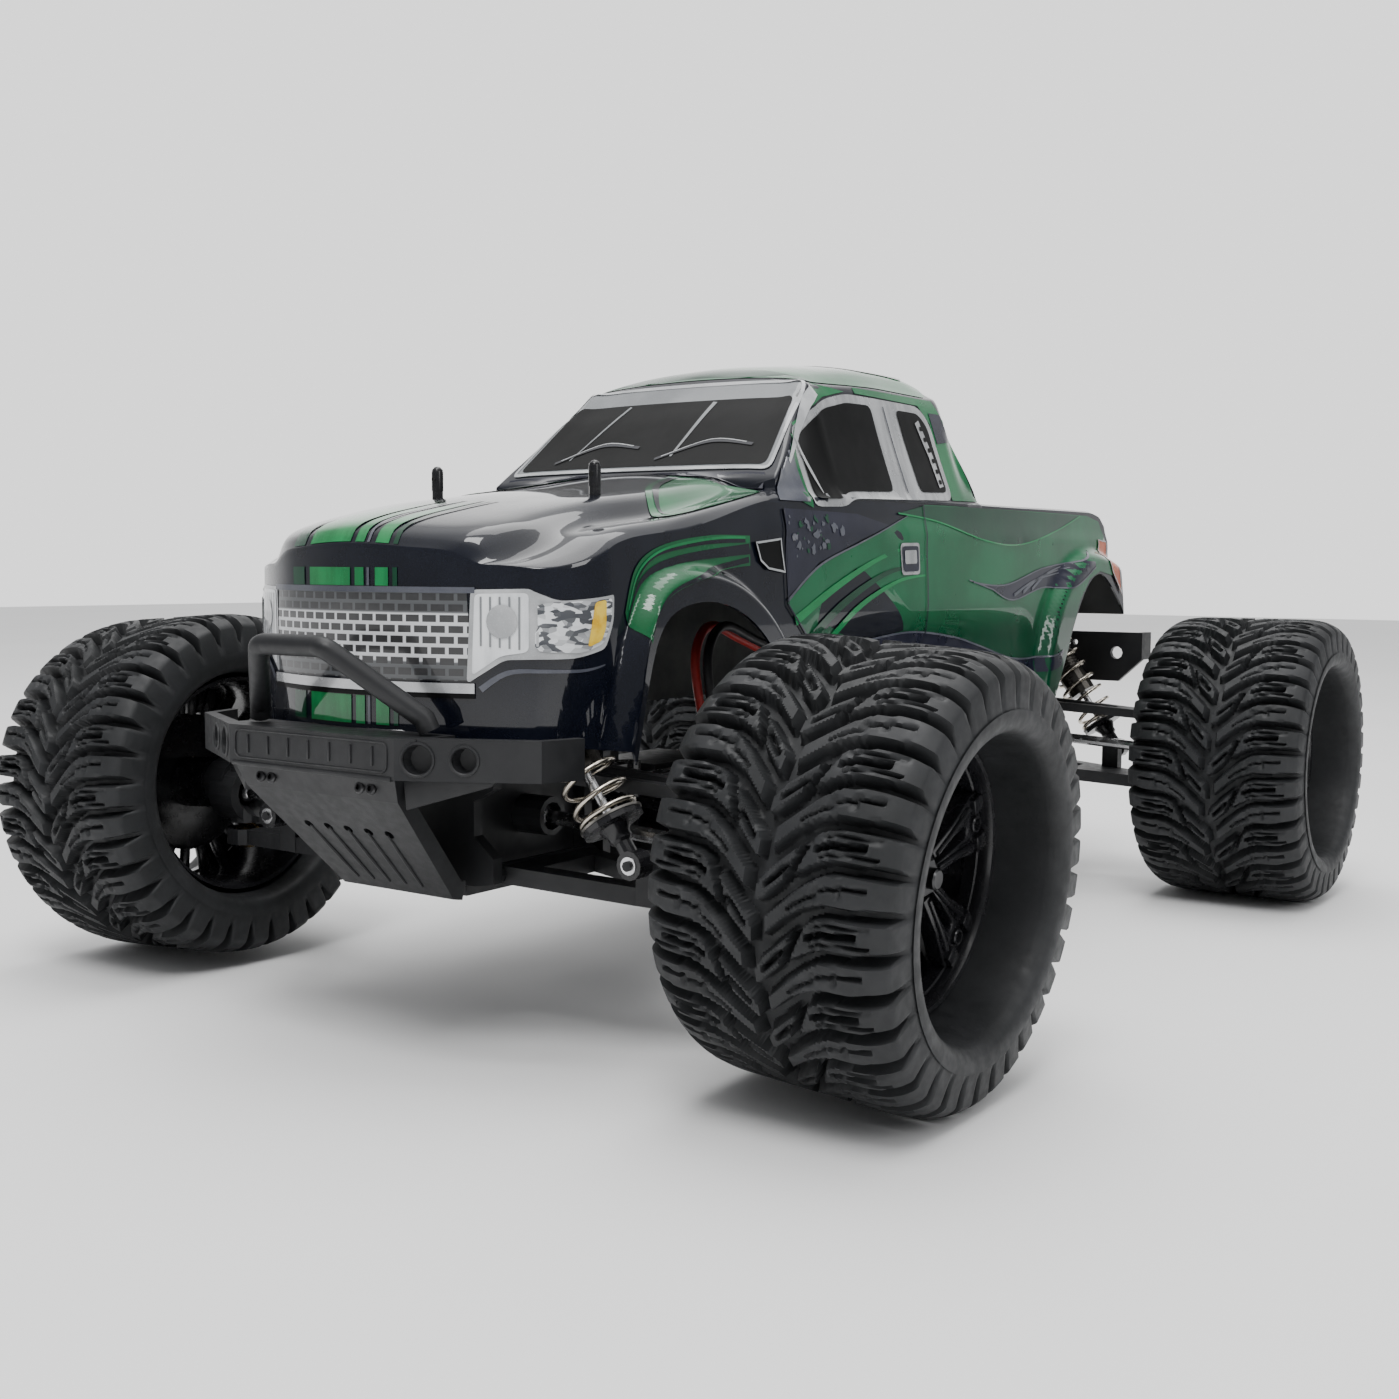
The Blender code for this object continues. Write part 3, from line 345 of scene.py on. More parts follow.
def noise(tree, scale, detail=4.0, stretch=(1, 1, 1), roughness=0.5):
    node = add(tree, "ShaderNodeTexNoise")
    put(node, Scale=scale, Detail=detail, Roughness=roughness)
    tree.links.new(coordinates(tree, stretch), node.inputs["Vector"])
    return node.outputs["Fac"]


def spread(tree, value, low, high, out_low, out_high):
    node = add(tree, "ShaderNodeMapRange")
    node.interpolation_type = "SMOOTHSTEP"
    node.inputs["From Min"].default_value = low
    node.inputs["From Max"].default_value = high
    node.inputs["To Min"].default_value = out_low
    node.inputs["To Max"].default_value = out_high
    tree.links.new(value, node.inputs["Value"])
    return node.outputs["Result"]


def mix(tree, fac, first, second):
    node = add(tree, "ShaderNodeMix", data_type="RGBA")
    for index, value in ((0, fac), (6, first), (7, second)):
        if isinstance(value, (tuple, list)):
            node.inputs[index].default_value = (*value, 1.0)
        elif isinstance(value, (int, float)):
            node.inputs[index].default_value = value
        else:
            tree.links.new(value, node.inputs[index])
    return node.outputs[2]


def calc(tree, operation, first, second=None):
    node = add(tree, "ShaderNodeMath", operation=operation)
    for index, value in ((0, first), (1, second)):
        if value is None:
            continue
        if isinstance(value, (int, float)):
            node.inputs[index].default_value = value
        else:
            tree.links.new(value, node.inputs[index])
    return node.outputs[0]


def bump(tree, shader, height, strength, distance=0.0002):
    node = add(tree, "ShaderNodeBump")
    node.inputs["Strength"].default_value = strength
    node.inputs["Distance"].default_value = distance
    tree.links.new(height, node.inputs["Height"])
    tree.links.new(node.outputs["Normal"], shader.inputs["Normal"])


def surface(name, low, high, rough_low, rough_high, metallic=0.0, grain=900.0, grain_strength=0.15,
            patch=40.0, coat=0.0, specular=0.5):
    """Everyday material: two tones in soft patches, uneven roughness and a fine grain."""
    material, tree, shader = start_material(name)
    tone = spread(tree, noise(tree, patch, 5.0), 0.3, 0.7, 0.0, 1.0)
    tree.links.new(mix(tree, tone, low, high), shader.inputs["Base Color"])
    fine = noise(tree, patch * 6, 6.0)
    tree.links.new(spread(tree, fine, 0.25, 0.75, rough_low, rough_high), shader.inputs["Roughness"])
    shader.inputs["Metallic"].default_value = metallic
    shader.inputs["Specular IOR Level"].default_value = specular
    shader.inputs["Coat Weight"].default_value = coat
    shader.inputs["Coat Roughness"].default_value = 0.04
    bump(tree, shader, noise(tree, grain, 3.0), grain_strength)
    return material


RUBBER = surface("tyre_rubber_look", (0.010, 0.011, 0.012), (0.019, 0.020, 0.022), 0.50, 0.68,
                 grain=1400.0, grain_strength=0.12, specular=0.42)
NYLON = surface("black_nylon_look", (0.010, 0.0105, 0.012), (0.017, 0.0175, 0.019), 0.42, 0.55,
                grain=2600.0, grain_strength=0.22, specular=0.4)
GLOSS = surface("black_plastic_look", (0.007, 0.007, 0.008), (0.011, 0.011, 0.013), 0.2, 0.3,
                grain=1200.0, grain_strength=0.05)
CASE = surface("dark_case_look", (0.014, 0.014, 0.016), (0.022, 0.022, 0.024), 0.35, 0.5, grain_strength=0.1)
STEEL = surface("bright_steel_look", (0.55, 0.55, 0.56), (0.68, 0.68, 0.69), 0.16, 0.3, 1.0, 1800.0, 0.05)
PEWTER = surface("pewter_look", (0.20, 0.19, 0.175), (0.28, 0.27, 0.25), 0.28, 0.4, 1.0, 1500.0, 0.06)
NICKEL = surface("spring_nickel_look", (0.55, 0.50, 0.42), (0.66, 0.61, 0.53), 0.16, 0.27, 1.0, 1500.0, 0.05)
BRASS = surface("pivot_brass_look", (0.55, 0.38, 0.15), (0.68, 0.5, 0.24), 0.2, 0.33, 1.0, 1500.0, 0.05)
SCREW = surface("screw_look", (0.05, 0.05, 0.052), (0.09, 0.09, 0.092), 0.3, 0.42, 1.0, 1500.0, 0.05)
WRAP = surface("battery_wrap_look", (0.02, 0.05, 0.16), (0.028, 0.065, 0.2), 0.25, 0.35, grain_strength=0.06)
RED = surface("lead_red_look", (0.35, 0.015, 0.012), (0.45, 0.025, 0.02), 0.4, 0.5, grain_strength=0.05)


# ------------------------------------------------------------------ body shell shape
NOSE_Y = -296.0 * MM
TAIL_Y = 254.0 * MM
NOSE_BOW = 4.1
ROCKER_Z = 112.0 * MM
BED_Z = 198.0 * MM
ARCH_F = (-196.0 * MM, 105.6 * MM, 68.0 * MM)
ARCH_R_Y = 222.4 * MM
ARCH_R_TOP = 184.8 * MM
FLARE = 8.0 * MM

HOOD = ((-296, 193), (-293, 198), (-286, 201.5), (-262, 207), (-223, 213.5), (-170, 220), (-124, 227))
SCREEN = ((-124, 227), (-110, 239), (-90, 257), (-76, 269), (-68, 277.5))
ROOF = ((-68, 277.5), (-58, 282.5), (-40, 286.5), (0, 290.5), (36, 291.5), (50, 289.5), (57, 284), (66, 258),
        (78, 224))
BELT = ((-296, 186), (-262, 196), (-200, 202), (-124, 217), (0, 221), (78, 221), (230, 222), (246, 220),
        (254, 214))
CROWN = ((-296, 187), (-262, 199), (-200, 206), (-124, 221))


def at_mm(line, y):
    return glide(line, y / MM) * MM


def arch_gap(y, z):
    """Distance of a side point outside the nearest wheel arch edge."""
    centre, middle, radius = ARCH_F
    front = math.hypot(y - centre, z - middle) - radius
    rear = math.hypot(y - ARCH_R_Y, z - ARCH_R_TOP + 66 * MM) - 66 * MM
    return min(front, rear)


def bottom_edge(y):
    centre, middle, radius = ARCH_F
    height = 0.0
    if abs(y - centre) < radius:
        height = middle + math.sqrt(radius * radius - (y - centre) ** 2)
    sweep = 18.1 if y < ARCH_R_Y else 25.0
    height = max(height, ARCH_R_TOP - sweep * (y - ARCH_R_Y) ** 2)
    base = at_mm(((-296, 121), (-272, 118), (-262, 112), (250, 112), (254, 152)), y)
    return max(base, height)


def side_offset(y, z):
    share = (z - ROCKER_Z) / (109.0 * MM)
    width = 86.0 * MM + 10.0 * MM * share - 12.0 * MM * share * share
    gap = arch_gap(y, z)
    width += FLARE * (1 - smoothstep(9 * MM, 16 * MM, gap))
    width -= 1.2 * MM * math.exp(-((z - 150 * MM) / (9 * MM)) ** 2) * smoothstep(-110 * MM, -90 * MM, y) \
        * smoothstep(140 * MM, 120 * MM, y)
    width += 0.9 * MM * math.exp(-((z - 204 * MM) / (5 * MM)) ** 2) * smoothstep(-150 * MM, -120 * MM, y)
    corner = min(max((-272 * MM - y) / (24.1 * MM), 0.0), 1.0)
    return width - 15.0 * MM * (1 - math.sqrt(1 - corner * corner))


def upper_section(y, edge, belt):
    if y < -124.5 * MM:
        top = at_mm(HOOD, y)
        crown = at_mm(CROWN, y)
        draw_in = min(1.0, (edge - 11 * MM) / (76 * MM)) * MM
        return [(edge, belt), (edge - 5 * MM, crown), (76 * draw_in, crown + 0.5 * MM),
                (67 * draw_in, crown + 1 * MM),
                (58 * draw_in, top - 2 * MM), (50 * draw_in, top), (34 * draw_in, top + 1 * MM),
                (17 * draw_in, top + 2 * MM), (0.0, top + 2.4 * MM)]
    if y < 78.5 * MM:
        top = at_mm(SCREEN, y) if y < -68 * MM else at_mm(ROOF, y)
        rise = smoothstep(219 * MM, 278 * MM, top)
        eave = min(top - 1.5 * MM, at_mm(((-68, 272), (0, 276), (60, 276)), y))
        corner = 80.0 * MM - 15.0 * MM * rise
        sill = edge - 2 * MM
        return [(edge, belt), (sill, min(belt + 2 * MM, eave)), ((sill + corner) / 2, (belt + eave) / 2),
                (corner + 1.5 * MM, eave - 4 * MM * rise), (corner - 3 * MM, eave + 1.5 * MM * rise),
                (corner * 0.82, eave + (top - eave) * 0.6), (corner * 0.55, eave + (top - eave) * 0.85),
                (corner * 0.27, eave + (top - eave) * 0.96), (0.0, top)]
    depth = smoothstep(79 * MM, 83 * MM, y) - smoothstep(239 * MM, 243 * MM, y)
    floor = belt - (belt - BED_Z) * depth
    return [(edge, belt), (edge - 2 * MM, belt + 1 * MM), (edge - 8 * MM, belt + 1 * MM),
            (edge - 11 * MM, floor + 0.5 * MM), (58 * MM, floor), (44 * MM, floor), (30 * MM, floor),
            (15 * MM, floor), (0.0, floor)]


def half_section(y, side_rows, top_steps):
    low = bottom_edge(y)
    belt = at_mm(BELT, y)
    points = []
    for row in range(side_rows):
        z = low + (belt - low) * row / side_rows
        points.append((side_offset(y, z), z))
    upper = upper_section(y, side_offset(y, belt), belt)
    if y > 78.5 * MM:
        fine = []
        for (xa, za), (xb, zb) in zip(upper, upper[1:]):
            for s in range(top_steps):
                t = s / top_steps
                fine.append((xa + (xb - xa) * t, za + (zb - za) * t))
        fine.append(upper[-1])
    else:
        mirror = [(-upper[-2][0], upper[-2][1])]
        fine = spline([points[-1]] + upper + mirror, top_steps)[top_steps:-top_steps]
        fine = fine[:len(upper) * top_steps - top_steps + 1]
        fine[-1] = upper[-1]
    return points + fine


def plan_shift(x, y, z):
    bow = NOSE_BOW * x * x * (1 - smoothstep(NOSE_Y, -210 * MM, y))
    lean = 0.16 * max(213 * MM - z, 0.0) * smoothstep(232 * MM, TAIL_Y, y)
    return bow + lean + SHIFT


SIDE_ROWS = 40
TOP_STEPS = 5


def stations():
    anchors = [-296, -295.93, -295.75, -295.45, -295, -294.4, -293.6, -292.4, -290.8, -288.6, -286, -262,
               -204, -196, -128, -125, -123.5, -110, -76, -68, -64, -40, 0, 36, 52, 58,
               68, 78, 79, 80, 83, 150, 158, 224, 239, 241, 243, 247, 254]
    out = []
    for a, b in zip(anchors, anchors[1:]):
        count = max(int((b - a) / 2.2), 1)
        out += [a + (b - a) * k / count for k in range(count)]
    return [v * MM for v in out + [anchors[-1]]]


def body_surface():
    vertices = []
    index = {}

    def vertex(x, y, z):
        key = (round(x * 1e6), round(y * 1e6), round(z * 1e6))
        if key not in index:
            index[key] = len(vertices)
            vertices.append((x, y + plan_shift(x, y, z), z))
        return index[key]

    def both(points):
        return points + [(-x, z) for x, z in reversed(points[:-1])]

    faces = []
    rows = []
    levels = stations()
    for y in levels:
        rows.append([vertex(x, y, z) for x, z in both(half_section(y, SIDE_ROWS, TOP_STEPS))])
    for first, second in zip(rows, rows[1:]):
        for k in range(len(first) - 1):
            faces.append((first[k], first[k + 1], second[k + 1], second[k]))
    for y in (levels[0], levels[-1]):
        half = half_section(y, SIDE_ROWS, TOP_STEPS)
        side = half[:SIDE_ROWS + 1]
        top = both(half[SIDE_ROWS:])
        low = side[0][1]
        grid = []
        for row, (edge, _) in enumerate(side):
            share = row / SIDE_ROWS
            scale = edge / side[-1][0]
            line = []
            for x, z in top:
                lift = 5.0 * MM * smoothstep(33 * MM, 27 * MM, abs(x)) if y < 0 else 0.0
                line.append(vertex(x * scale, y, low + lift * (1 - share) + share * (z - low)))
            grid.append(line)
        for under, over in zip(grid, grid[1:]):
            for k in range(len(under) - 1):
                faces.append((under[k], under[k + 1], over[k + 1], over[k]))
    return vertices, [face for face in faces if len(set(face)) == 4]


SECTIONS = {}


def section_at(y):
    key = round(y * 1e5)
    if key not in SECTIONS:
        SECTIONS[key] = half_section(key * 1e-5, SIDE_ROWS, TOP_STEPS)
    return SECTIONS[key]


def skin_side(y, z, lift=0.25 * MM):
    """Point on the outside of the left flank at a station y and a height, kept between sill and shoulder."""
    points = section_at(y)
    shoulder = [b for a, b in points if a > 0.66 * points[0][0]]
    z = min(max(z, points[0][1]), max(shoulder) - 0.01 * MM)
    found = points[0][0]
    for (xa, za), (xb, zb) in zip(points, points[1:]):
        if za <= z <= zb and zb > za:
            found = xa + (xb - xa) * (z - za) / (zb - za)
            break
    return (found + lift, y + plan_shift(found, y, z), z)


def skin_top(x, y, lift=0.25 * MM):
    """Point on the hood, screen, roof or bed at a width x and a station y."""
    points = section_at(y)[SIDE_ROWS:]
    wide = abs(x)
    found = points[-1][1]
    for (xa, za), (xb, zb) in zip(reversed(points), list(reversed(points))[1:]):
        if xa <= wide <= xb and xb > xa:
            found = za + (zb - za) * (wide - xa) / (xb - xa)
            break
    return (x, y + plan_shift(x, y, found), found + lift)


def skin_front(x, z, lift=0.3 * MM):
    return (x, NOSE_Y + plan_shift(x, NOSE_Y, z) - lift, z)


def patch(name, outline, mapper, material, spacing=4.0 * MM, smooth=60.0):
    """Thin painted area: a flat outline filled with small triangles and laid on the skin."""
    verts = [Vector(p[:2]) for p in outline]
    count = len(verts)
    edges = [(k, (k + 1) % count) for k in range(count)]
    us = [v.x for v in verts]
    vs = [v.y for v in verts]
    u = min(us) + spacing / 2
    while u < max(us):
        v = min(vs) + spacing / 2
        while v < max(vs):
            if inside(u, v, verts) and clear_of(u, v, verts, spacing * 0.45):
                verts.append(Vector((u, v)))
            v += spacing
        u += spacing
    flat, _, faces, *_rest = delaunay_2d_cdt(verts, edges, [tuple(range(count))], 1, 1e-7)
    points = [mapper(p.x, p.y) for p in flat]
    item = make(name, points, [tuple(f) for f in faces], material, smooth)
    return item


def inside(u, v, outline):
    hit = False
    count = len(outline)
    for k in range(count):
        a = outline[k]
        b = outline[(k + 1) % count]
        if (a.y > v) != (b.y > v) and u < (b.x - a.x) * (v - a.y) / (b.y - a.y) + a.x:
            hit = not hit
    return hit


def clear_of(u, v, outline, gap):
    for p in outline:
        if abs(p.x - u) < gap and abs(p.y - v) < gap:
            return False
    return True


def ribbon(line, width):
    """Outline of a strip along a line."""
    left = []
    right = []
    count = len(line)
    for k, (u, v) in enumerate(line):
        du = line[min(k + 1, count - 1)][0] - line[max(k - 1, 0)][0]
        dv = line[min(k + 1, count - 1)][1] - line[max(k - 1, 0)][1]
        size = math.hypot(du, dv) or 1.0
        w = width(k / (count - 1)) if callable(width) else width
        left.append((u - dv / size * w / 2, v + du / size * w / 2))
        right.append((u + dv / size * w / 2, v - du / size * w / 2))
    return left + right[::-1]


def loop_band(outline, width):
    """Quads of a band that follows a closed outline, as (outer, inner) rows."""
    count = len(outline)
    inner = []
    area = sum(outline[k][0] * outline[(k + 1) % count][1] - outline[(k + 1) % count][0] * outline[k][1]
               for k in range(count))
    sign = 1 if area > 0 else -1
    for k in range(count):
        a = Vector(outline[k - 1])
        b = Vector(outline[(k + 1) % count])
        d = (b - a).normalized()
        inner.append((outline[k][0] - sign * d.y * width, outline[k][1] + sign * d.x * width))
    return inner


def band(name, outline, width, mapper, material):
    inner = loop_band(outline, width)
    count = len(outline)
    points = [mapper(*p) for p in outline] + [mapper(*p) for p in inner]
    faces = [(k, (k + 1) % count, count + (k + 1) % count, count + k) for k in range(count)]
    return make(name, points, faces, material, 60)


def dense(line, step=3.0 * MM, closed=False):
    out = []
    pairs = list(zip(line, line[1:] + ([line[0]] if closed else [])))
    for a, b in pairs:
        size = math.hypot(b[0] - a[0], b[1] - a[1])
        count = max(int(size / step), 1)
        out += [(a[0] + (b[0] - a[0]) * k / count, a[1] + (b[1] - a[1]) * k / count) for k in range(count)]
    if not closed:
        out.append(line[-1])
    return out


def soft_corners(points, radius, steps=4):
    """Closed outline with its corners rounded."""
    out = []
    count = len(points)
    for k in range(count):
        p = Vector(points[k])
        a = (Vector(points[k - 1]) - p)
        b = (Vector(points[(k + 1) % count]) - p)
        ra = min(radius, a.length * 0.45)
        rb = min(radius, b.length * 0.45)
        p0 = p + a.normalized() * ra
        p1 = p + b.normalized() * rb
        for s in range(steps + 1):
            t = s / steps
            q = p0 * (1 - t) ** 2 + p * 2 * t * (1 - t) + p1 * t * t
            out.append((q.x, q.y))
    return out


# ------------------------------------------------------------------ livery materials
def lacquer(name, low, high, patch=30.0, rough=0.32, metallic=0.0, fade=None, coat=1.0, stretch=(1, 1, 1)):
    """Paint behind the clear shell: soft tone changes, fine flake and a glossy coat; fade mixes to a third
    tone along an axis of the shell, as (axis, from, to, colour)."""
    material, tree, shader = start_material(name)
    tone = spread(tree, noise(tree, patch, 4.0, stretch), 0.35, 0.65, 0.0, 1.0)
    colour = mix(tree, tone, low, high)
    flake = spread(tree, noise(tree, 2600.0, 2.0), 0.55, 0.75, 0.0, 0.35)
    colour = mix(tree, flake, colour, tuple(min(c * 1.6 + 0.004, 1.0) for c in high))
    if fade:
        axis, start, end, third = fade
        place = add(tree, "ShaderNodeTexCoord")
        split = add(tree, "ShaderNodeSeparateXYZ")
        tree.links.new(place.outputs["Object"], split.inputs[0])
        share = spread(tree, split.outputs[axis], start, end, 0.0, 1.0)
        colour = mix(tree, share, colour, third)
    tree.links.new(colour, shader.inputs["Base Color"])
    tree.links.new(spread(tree, noise(tree, 60.0, 3.0), 0.3, 0.7, rough * 0.85, rough * 1.15),
                   shader.inputs["Roughness"])
    shader.inputs["Metallic"].default_value = metallic
    shader.inputs["Specular IOR Level"].default_value = 0.08
    shader.inputs["Coat Weight"].default_value = coat
    shader.inputs["Coat Roughness"].default_value = 0.03
    bump(tree, shader, noise(tree, 45.0, 2.0), 0.03, 0.0006)
    return material


NIGHT = lacquer("paint_night", (0.0030, 0.0040, 0.0085), (0.0050, 0.0065, 0.013))
NAVY = lacquer("paint_navy", (0.010, 0.011, 0.022), (0.017, 0.018, 0.034))
GREEN = lacquer("paint_green", (0.002, 0.085, 0.030), (0.004, 0.120, 0.044), 25.0,
                fade=("Z", 176 * MM, 150 * MM, (0.001, 0.045, 0.019)))
GREEN_CAB = lacquer("paint_green_cab", (0.002, 0.095, 0.030), (0.004, 0.135, 0.042), 25.0)
GREEN_DEEP = lacquer("paint_green_deep", (0.001, 0.035, 0.015), (0.002, 0.050, 0.021), 25.0)
GREEN_STRIPE = lacquer("paint_green_stripe", (0.006, 0.150, 0.042), (0.010, 0.215, 0.062), 40.0,
                       fade=("Y", -262 * MM, -228 * MM, (0.004, 0.010, 0.012)), stretch=(4, 0.4, 1))
GREEN_BRIGHT = lacquer("paint_green_bright", (0.004, 0.170, 0.050), (0.007, 0.215, 0.066), 30.0)
SLATE = lacquer("paint_slate", (0.060, 0.065, 0.085), (0.095, 0.100, 0.120), 50.0)
LIGHT = lacquer("paint_light", (0.36, 0.37, 0.38), (0.50, 0.51, 0.52), 60.0)
SILVER = lacquer("paint_silver", (0.42, 0.43, 0.44), (0.62, 0.63, 0.64), 20.0, 0.25, 0.6, stretch=(1, 6, 1))
GLASS = lacquer("paint_glass", (0.0012, 0.0013, 0.0014), (0.0025, 0.0026, 0.0028), 18.0, 0.4, coat=0.15)
BANNER = lacquer("paint_banner", (0.16, 0.17, 0.18), (0.24, 0.25, 0.26), 25.0)
ORANGE = lacquer("paint_orange", (0.45, 0.075, 0.022), (0.60, 0.14, 0.05), 90.0)
AMBER = lacquer("paint_amber", (0.75, 0.42, 0.02), (0.90, 0.62, 0.08), 200.0)
LENS = lacquer("paint_lens", (0.62, 0.64, 0.66), (0.86, 0.88, 0.90), 55.0, 0.2, stretch=(2, 2, 0.5))
LINER = surface("bed_liner_look", (0.006, 0.010, 0.009), (0.010, 0.018, 0.014), 0.4, 0.55, grain=700.0,
                grain_strength=0.35, coat=0.4)
INSIDE = surface("shell_inside_look", (0.045, 0.047, 0.046), (0.075, 0.078, 0.075), 0.45, 0.6,
                 grain_strength=0.05)


def grille_material():
    material, tree, shader = start_material("grille_look")
    brick = add(tree, "ShaderNodeTexBrick")
    mapping = add(tree, "ShaderNodeMapping")
    mapping.inputs["Rotation"].default_value = (math.radians(90), 0, 0)
    place = add(tree, "ShaderNodeTexCoord")
    tree.links.new(place.outputs["Object"], mapping.inputs["Vector"])
    tree.links.new(mapping.outputs["Vector"], brick.inputs["Vector"])
    brick.inputs["Scale"].default_value = 1.0 / (8.4 * MM)
    brick.inputs["Brick Width"].default_value = 0.80
    brick.inputs["Row Height"].default_value = 0.47
    brick.inputs["Mortar Size"].default_value = 0.085
    brick.inputs["Mortar Smooth"].default_value = 0.15
    split = add(tree, "ShaderNodeSeparateXYZ")
    tree.links.new(place.outputs["Object"], split.inputs[0])
    dim_low = spread(tree, split.outputs["Z"], 151.4 * MM, 152.2 * MM, 0.0, 1.0)
    dim_high = spread(tree, split.outputs["Z"], 169.4 * MM, 170.2 * MM, 1.0, 0.0)
    bright = calc(tree, "MULTIPLY", dim_low, dim_high)
    mesh_tone = mix(tree, bright, (0.075, 0.08, 0.085), (0.66, 0.67, 0.69))
    hole_tone = mix(tree, noise(tree, 300.0), (0.010, 0.010, 0.011), (0.03, 0.03, 0.032))
    tree.links.new(mix(tree, brick.outputs["Fac"], hole_tone, mesh_tone), shader.inputs["Base Color"])
    shader.inputs["Roughness"].default_value = 0.35
    shader.inputs["Coat Weight"].default_value = 1.0
    shader.inputs["Coat Roughness"].default_value = 0.04
    bump(tree, shader, brick.outputs["Fac"], 0.5, 0.0005)
    return material


GRILLE = grille_material()


def speckle_material():
    """Lamp reflector: bright facets broken by dark gaps."""
    material, tree, shader = start_material("reflector_look")
    cells = add(tree, "ShaderNodeTexVoronoi", feature="F1")
    cells.inputs["Scale"].default_value = 420.0
    tree.links.new(coordinates(tree, (1.0, 0.6, 1.6)), cells.inputs["Vector"])
    tree.links.new(mix(tree, spread(tree, cells.outputs["Color"], 0.35, 0.75, 0.0, 1.0),
                       (0.06, 0.065, 0.075), (0.78, 0.8, 0.82)), shader.inputs["Base Color"])
    shader.inputs["Roughness"].default_value = 0.25
    shader.inputs["Coat Weight"].default_value = 1.0
    bump(tree, shader, cells.outputs["Distance"], 0.4, 0.0004)
    return material


REFLECTOR = speckle_material()


# ------------------------------------------------------------------ body shell and its livery
def mm(points):
    return [(a * MM, b * MM) for a, b in points]


def build_shell():
    vertices, faces = body_surface()
    shell = make("shell_skin", vertices, faces, NIGHT, 0)
    bm = bmesh.new()
    bm.from_mesh(shell.data)
    bmesh.ops.recalc_face_normals(bm, faces=bm.faces)
    if sum(f.normal.z * f.calc_area() for f in bm.faces) < 0:
        bmesh.ops.reverse_faces(bm, faces=bm.faces)
    bm.to_mesh(shell.data)
    bm.free()
    shell.data.materials.append(INSIDE)
    shell.data.materials.append(NIGHT)
    skin = shell.modifiers.new("thickness", "SOLIDIFY")
    skin.thickness = SHELL_WALL
    skin.offset = -1
    skin.material_offset = 1
    skin.material_offset_rim = 2
    for end in (-1, 1):
        y = axle_y(end) - end * POST_INBOARD
        for x in (-POST_X, POST_X):
            hole = turned("post_hole", (x, y, 180 * MM), (x, y, 240 * MM),
                          ((3.2 * MM, 0), (3.2 * MM, 60 * MM)), INSIDE, 24)
            cut = shell.modifiers.new("hole", "BOOLEAN")
            cut.operation = "DIFFERENCE"
            cut.solver = "EXACT"
            cut.object = hole
            bake(shell)
            bpy.data.objects.remove(hole, do_unlink=True)
    for face in shell.data.polygons:
        face.use_smooth = True
    shell.data.set_sharp_from_angle(angle=math.radians(42))
    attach(shell, "shell")
    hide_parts("body_shell")
    return shell


PAINTED = []


def both_sides(item):
    PAINTED.append(item)
    PAINTED.append(mirrored(item, item.name + "_r"))


def side_mapper(lift):
    return lambda y, z: skin_side(y, z, lift * 1.4 * MM)


def top_mapper(lift):
    return lambda x, y: skin_top(x, y, lift * 1.3 * MM)


def wrap_mapper(lift):
    """Round the nose corner: u is the width, then the distance back along the side."""
    def place(u, z):
        sign = 1 if u >= 0 else -1
        u = abs(u)
        edge = side_offset(NOSE_Y, z)
        if u <= edge - 0.4 * MM:
            x, y, z2 = skin_front(u, z, lift * MM)
        else:
            x, y, z2 = skin_side(NOSE_Y + max(u - edge, 0.0), z, lift * MM)
            y -= lift * MM
        return (sign * x, y, z2)
    return place


def side_paint(name, outline, lift, paint, step):
    """Painted area on both flanks; step is the triangle size in mm."""
    both_sides(patch(name, outline, side_mapper(lift), paint, step * MM))


def front_paint(name, outline, lift, paint, step):
    """Painted area on both halves of the nose."""
    both_sides(patch(name, outline, wrap_mapper(lift), paint, step * MM))


def upper_paint(name, outline, lift, paint, step):
    """Painted area on the hood, screen, roof or bed."""
    PAINTED.append(patch(name, outline, top_mapper(lift), paint, step * MM))


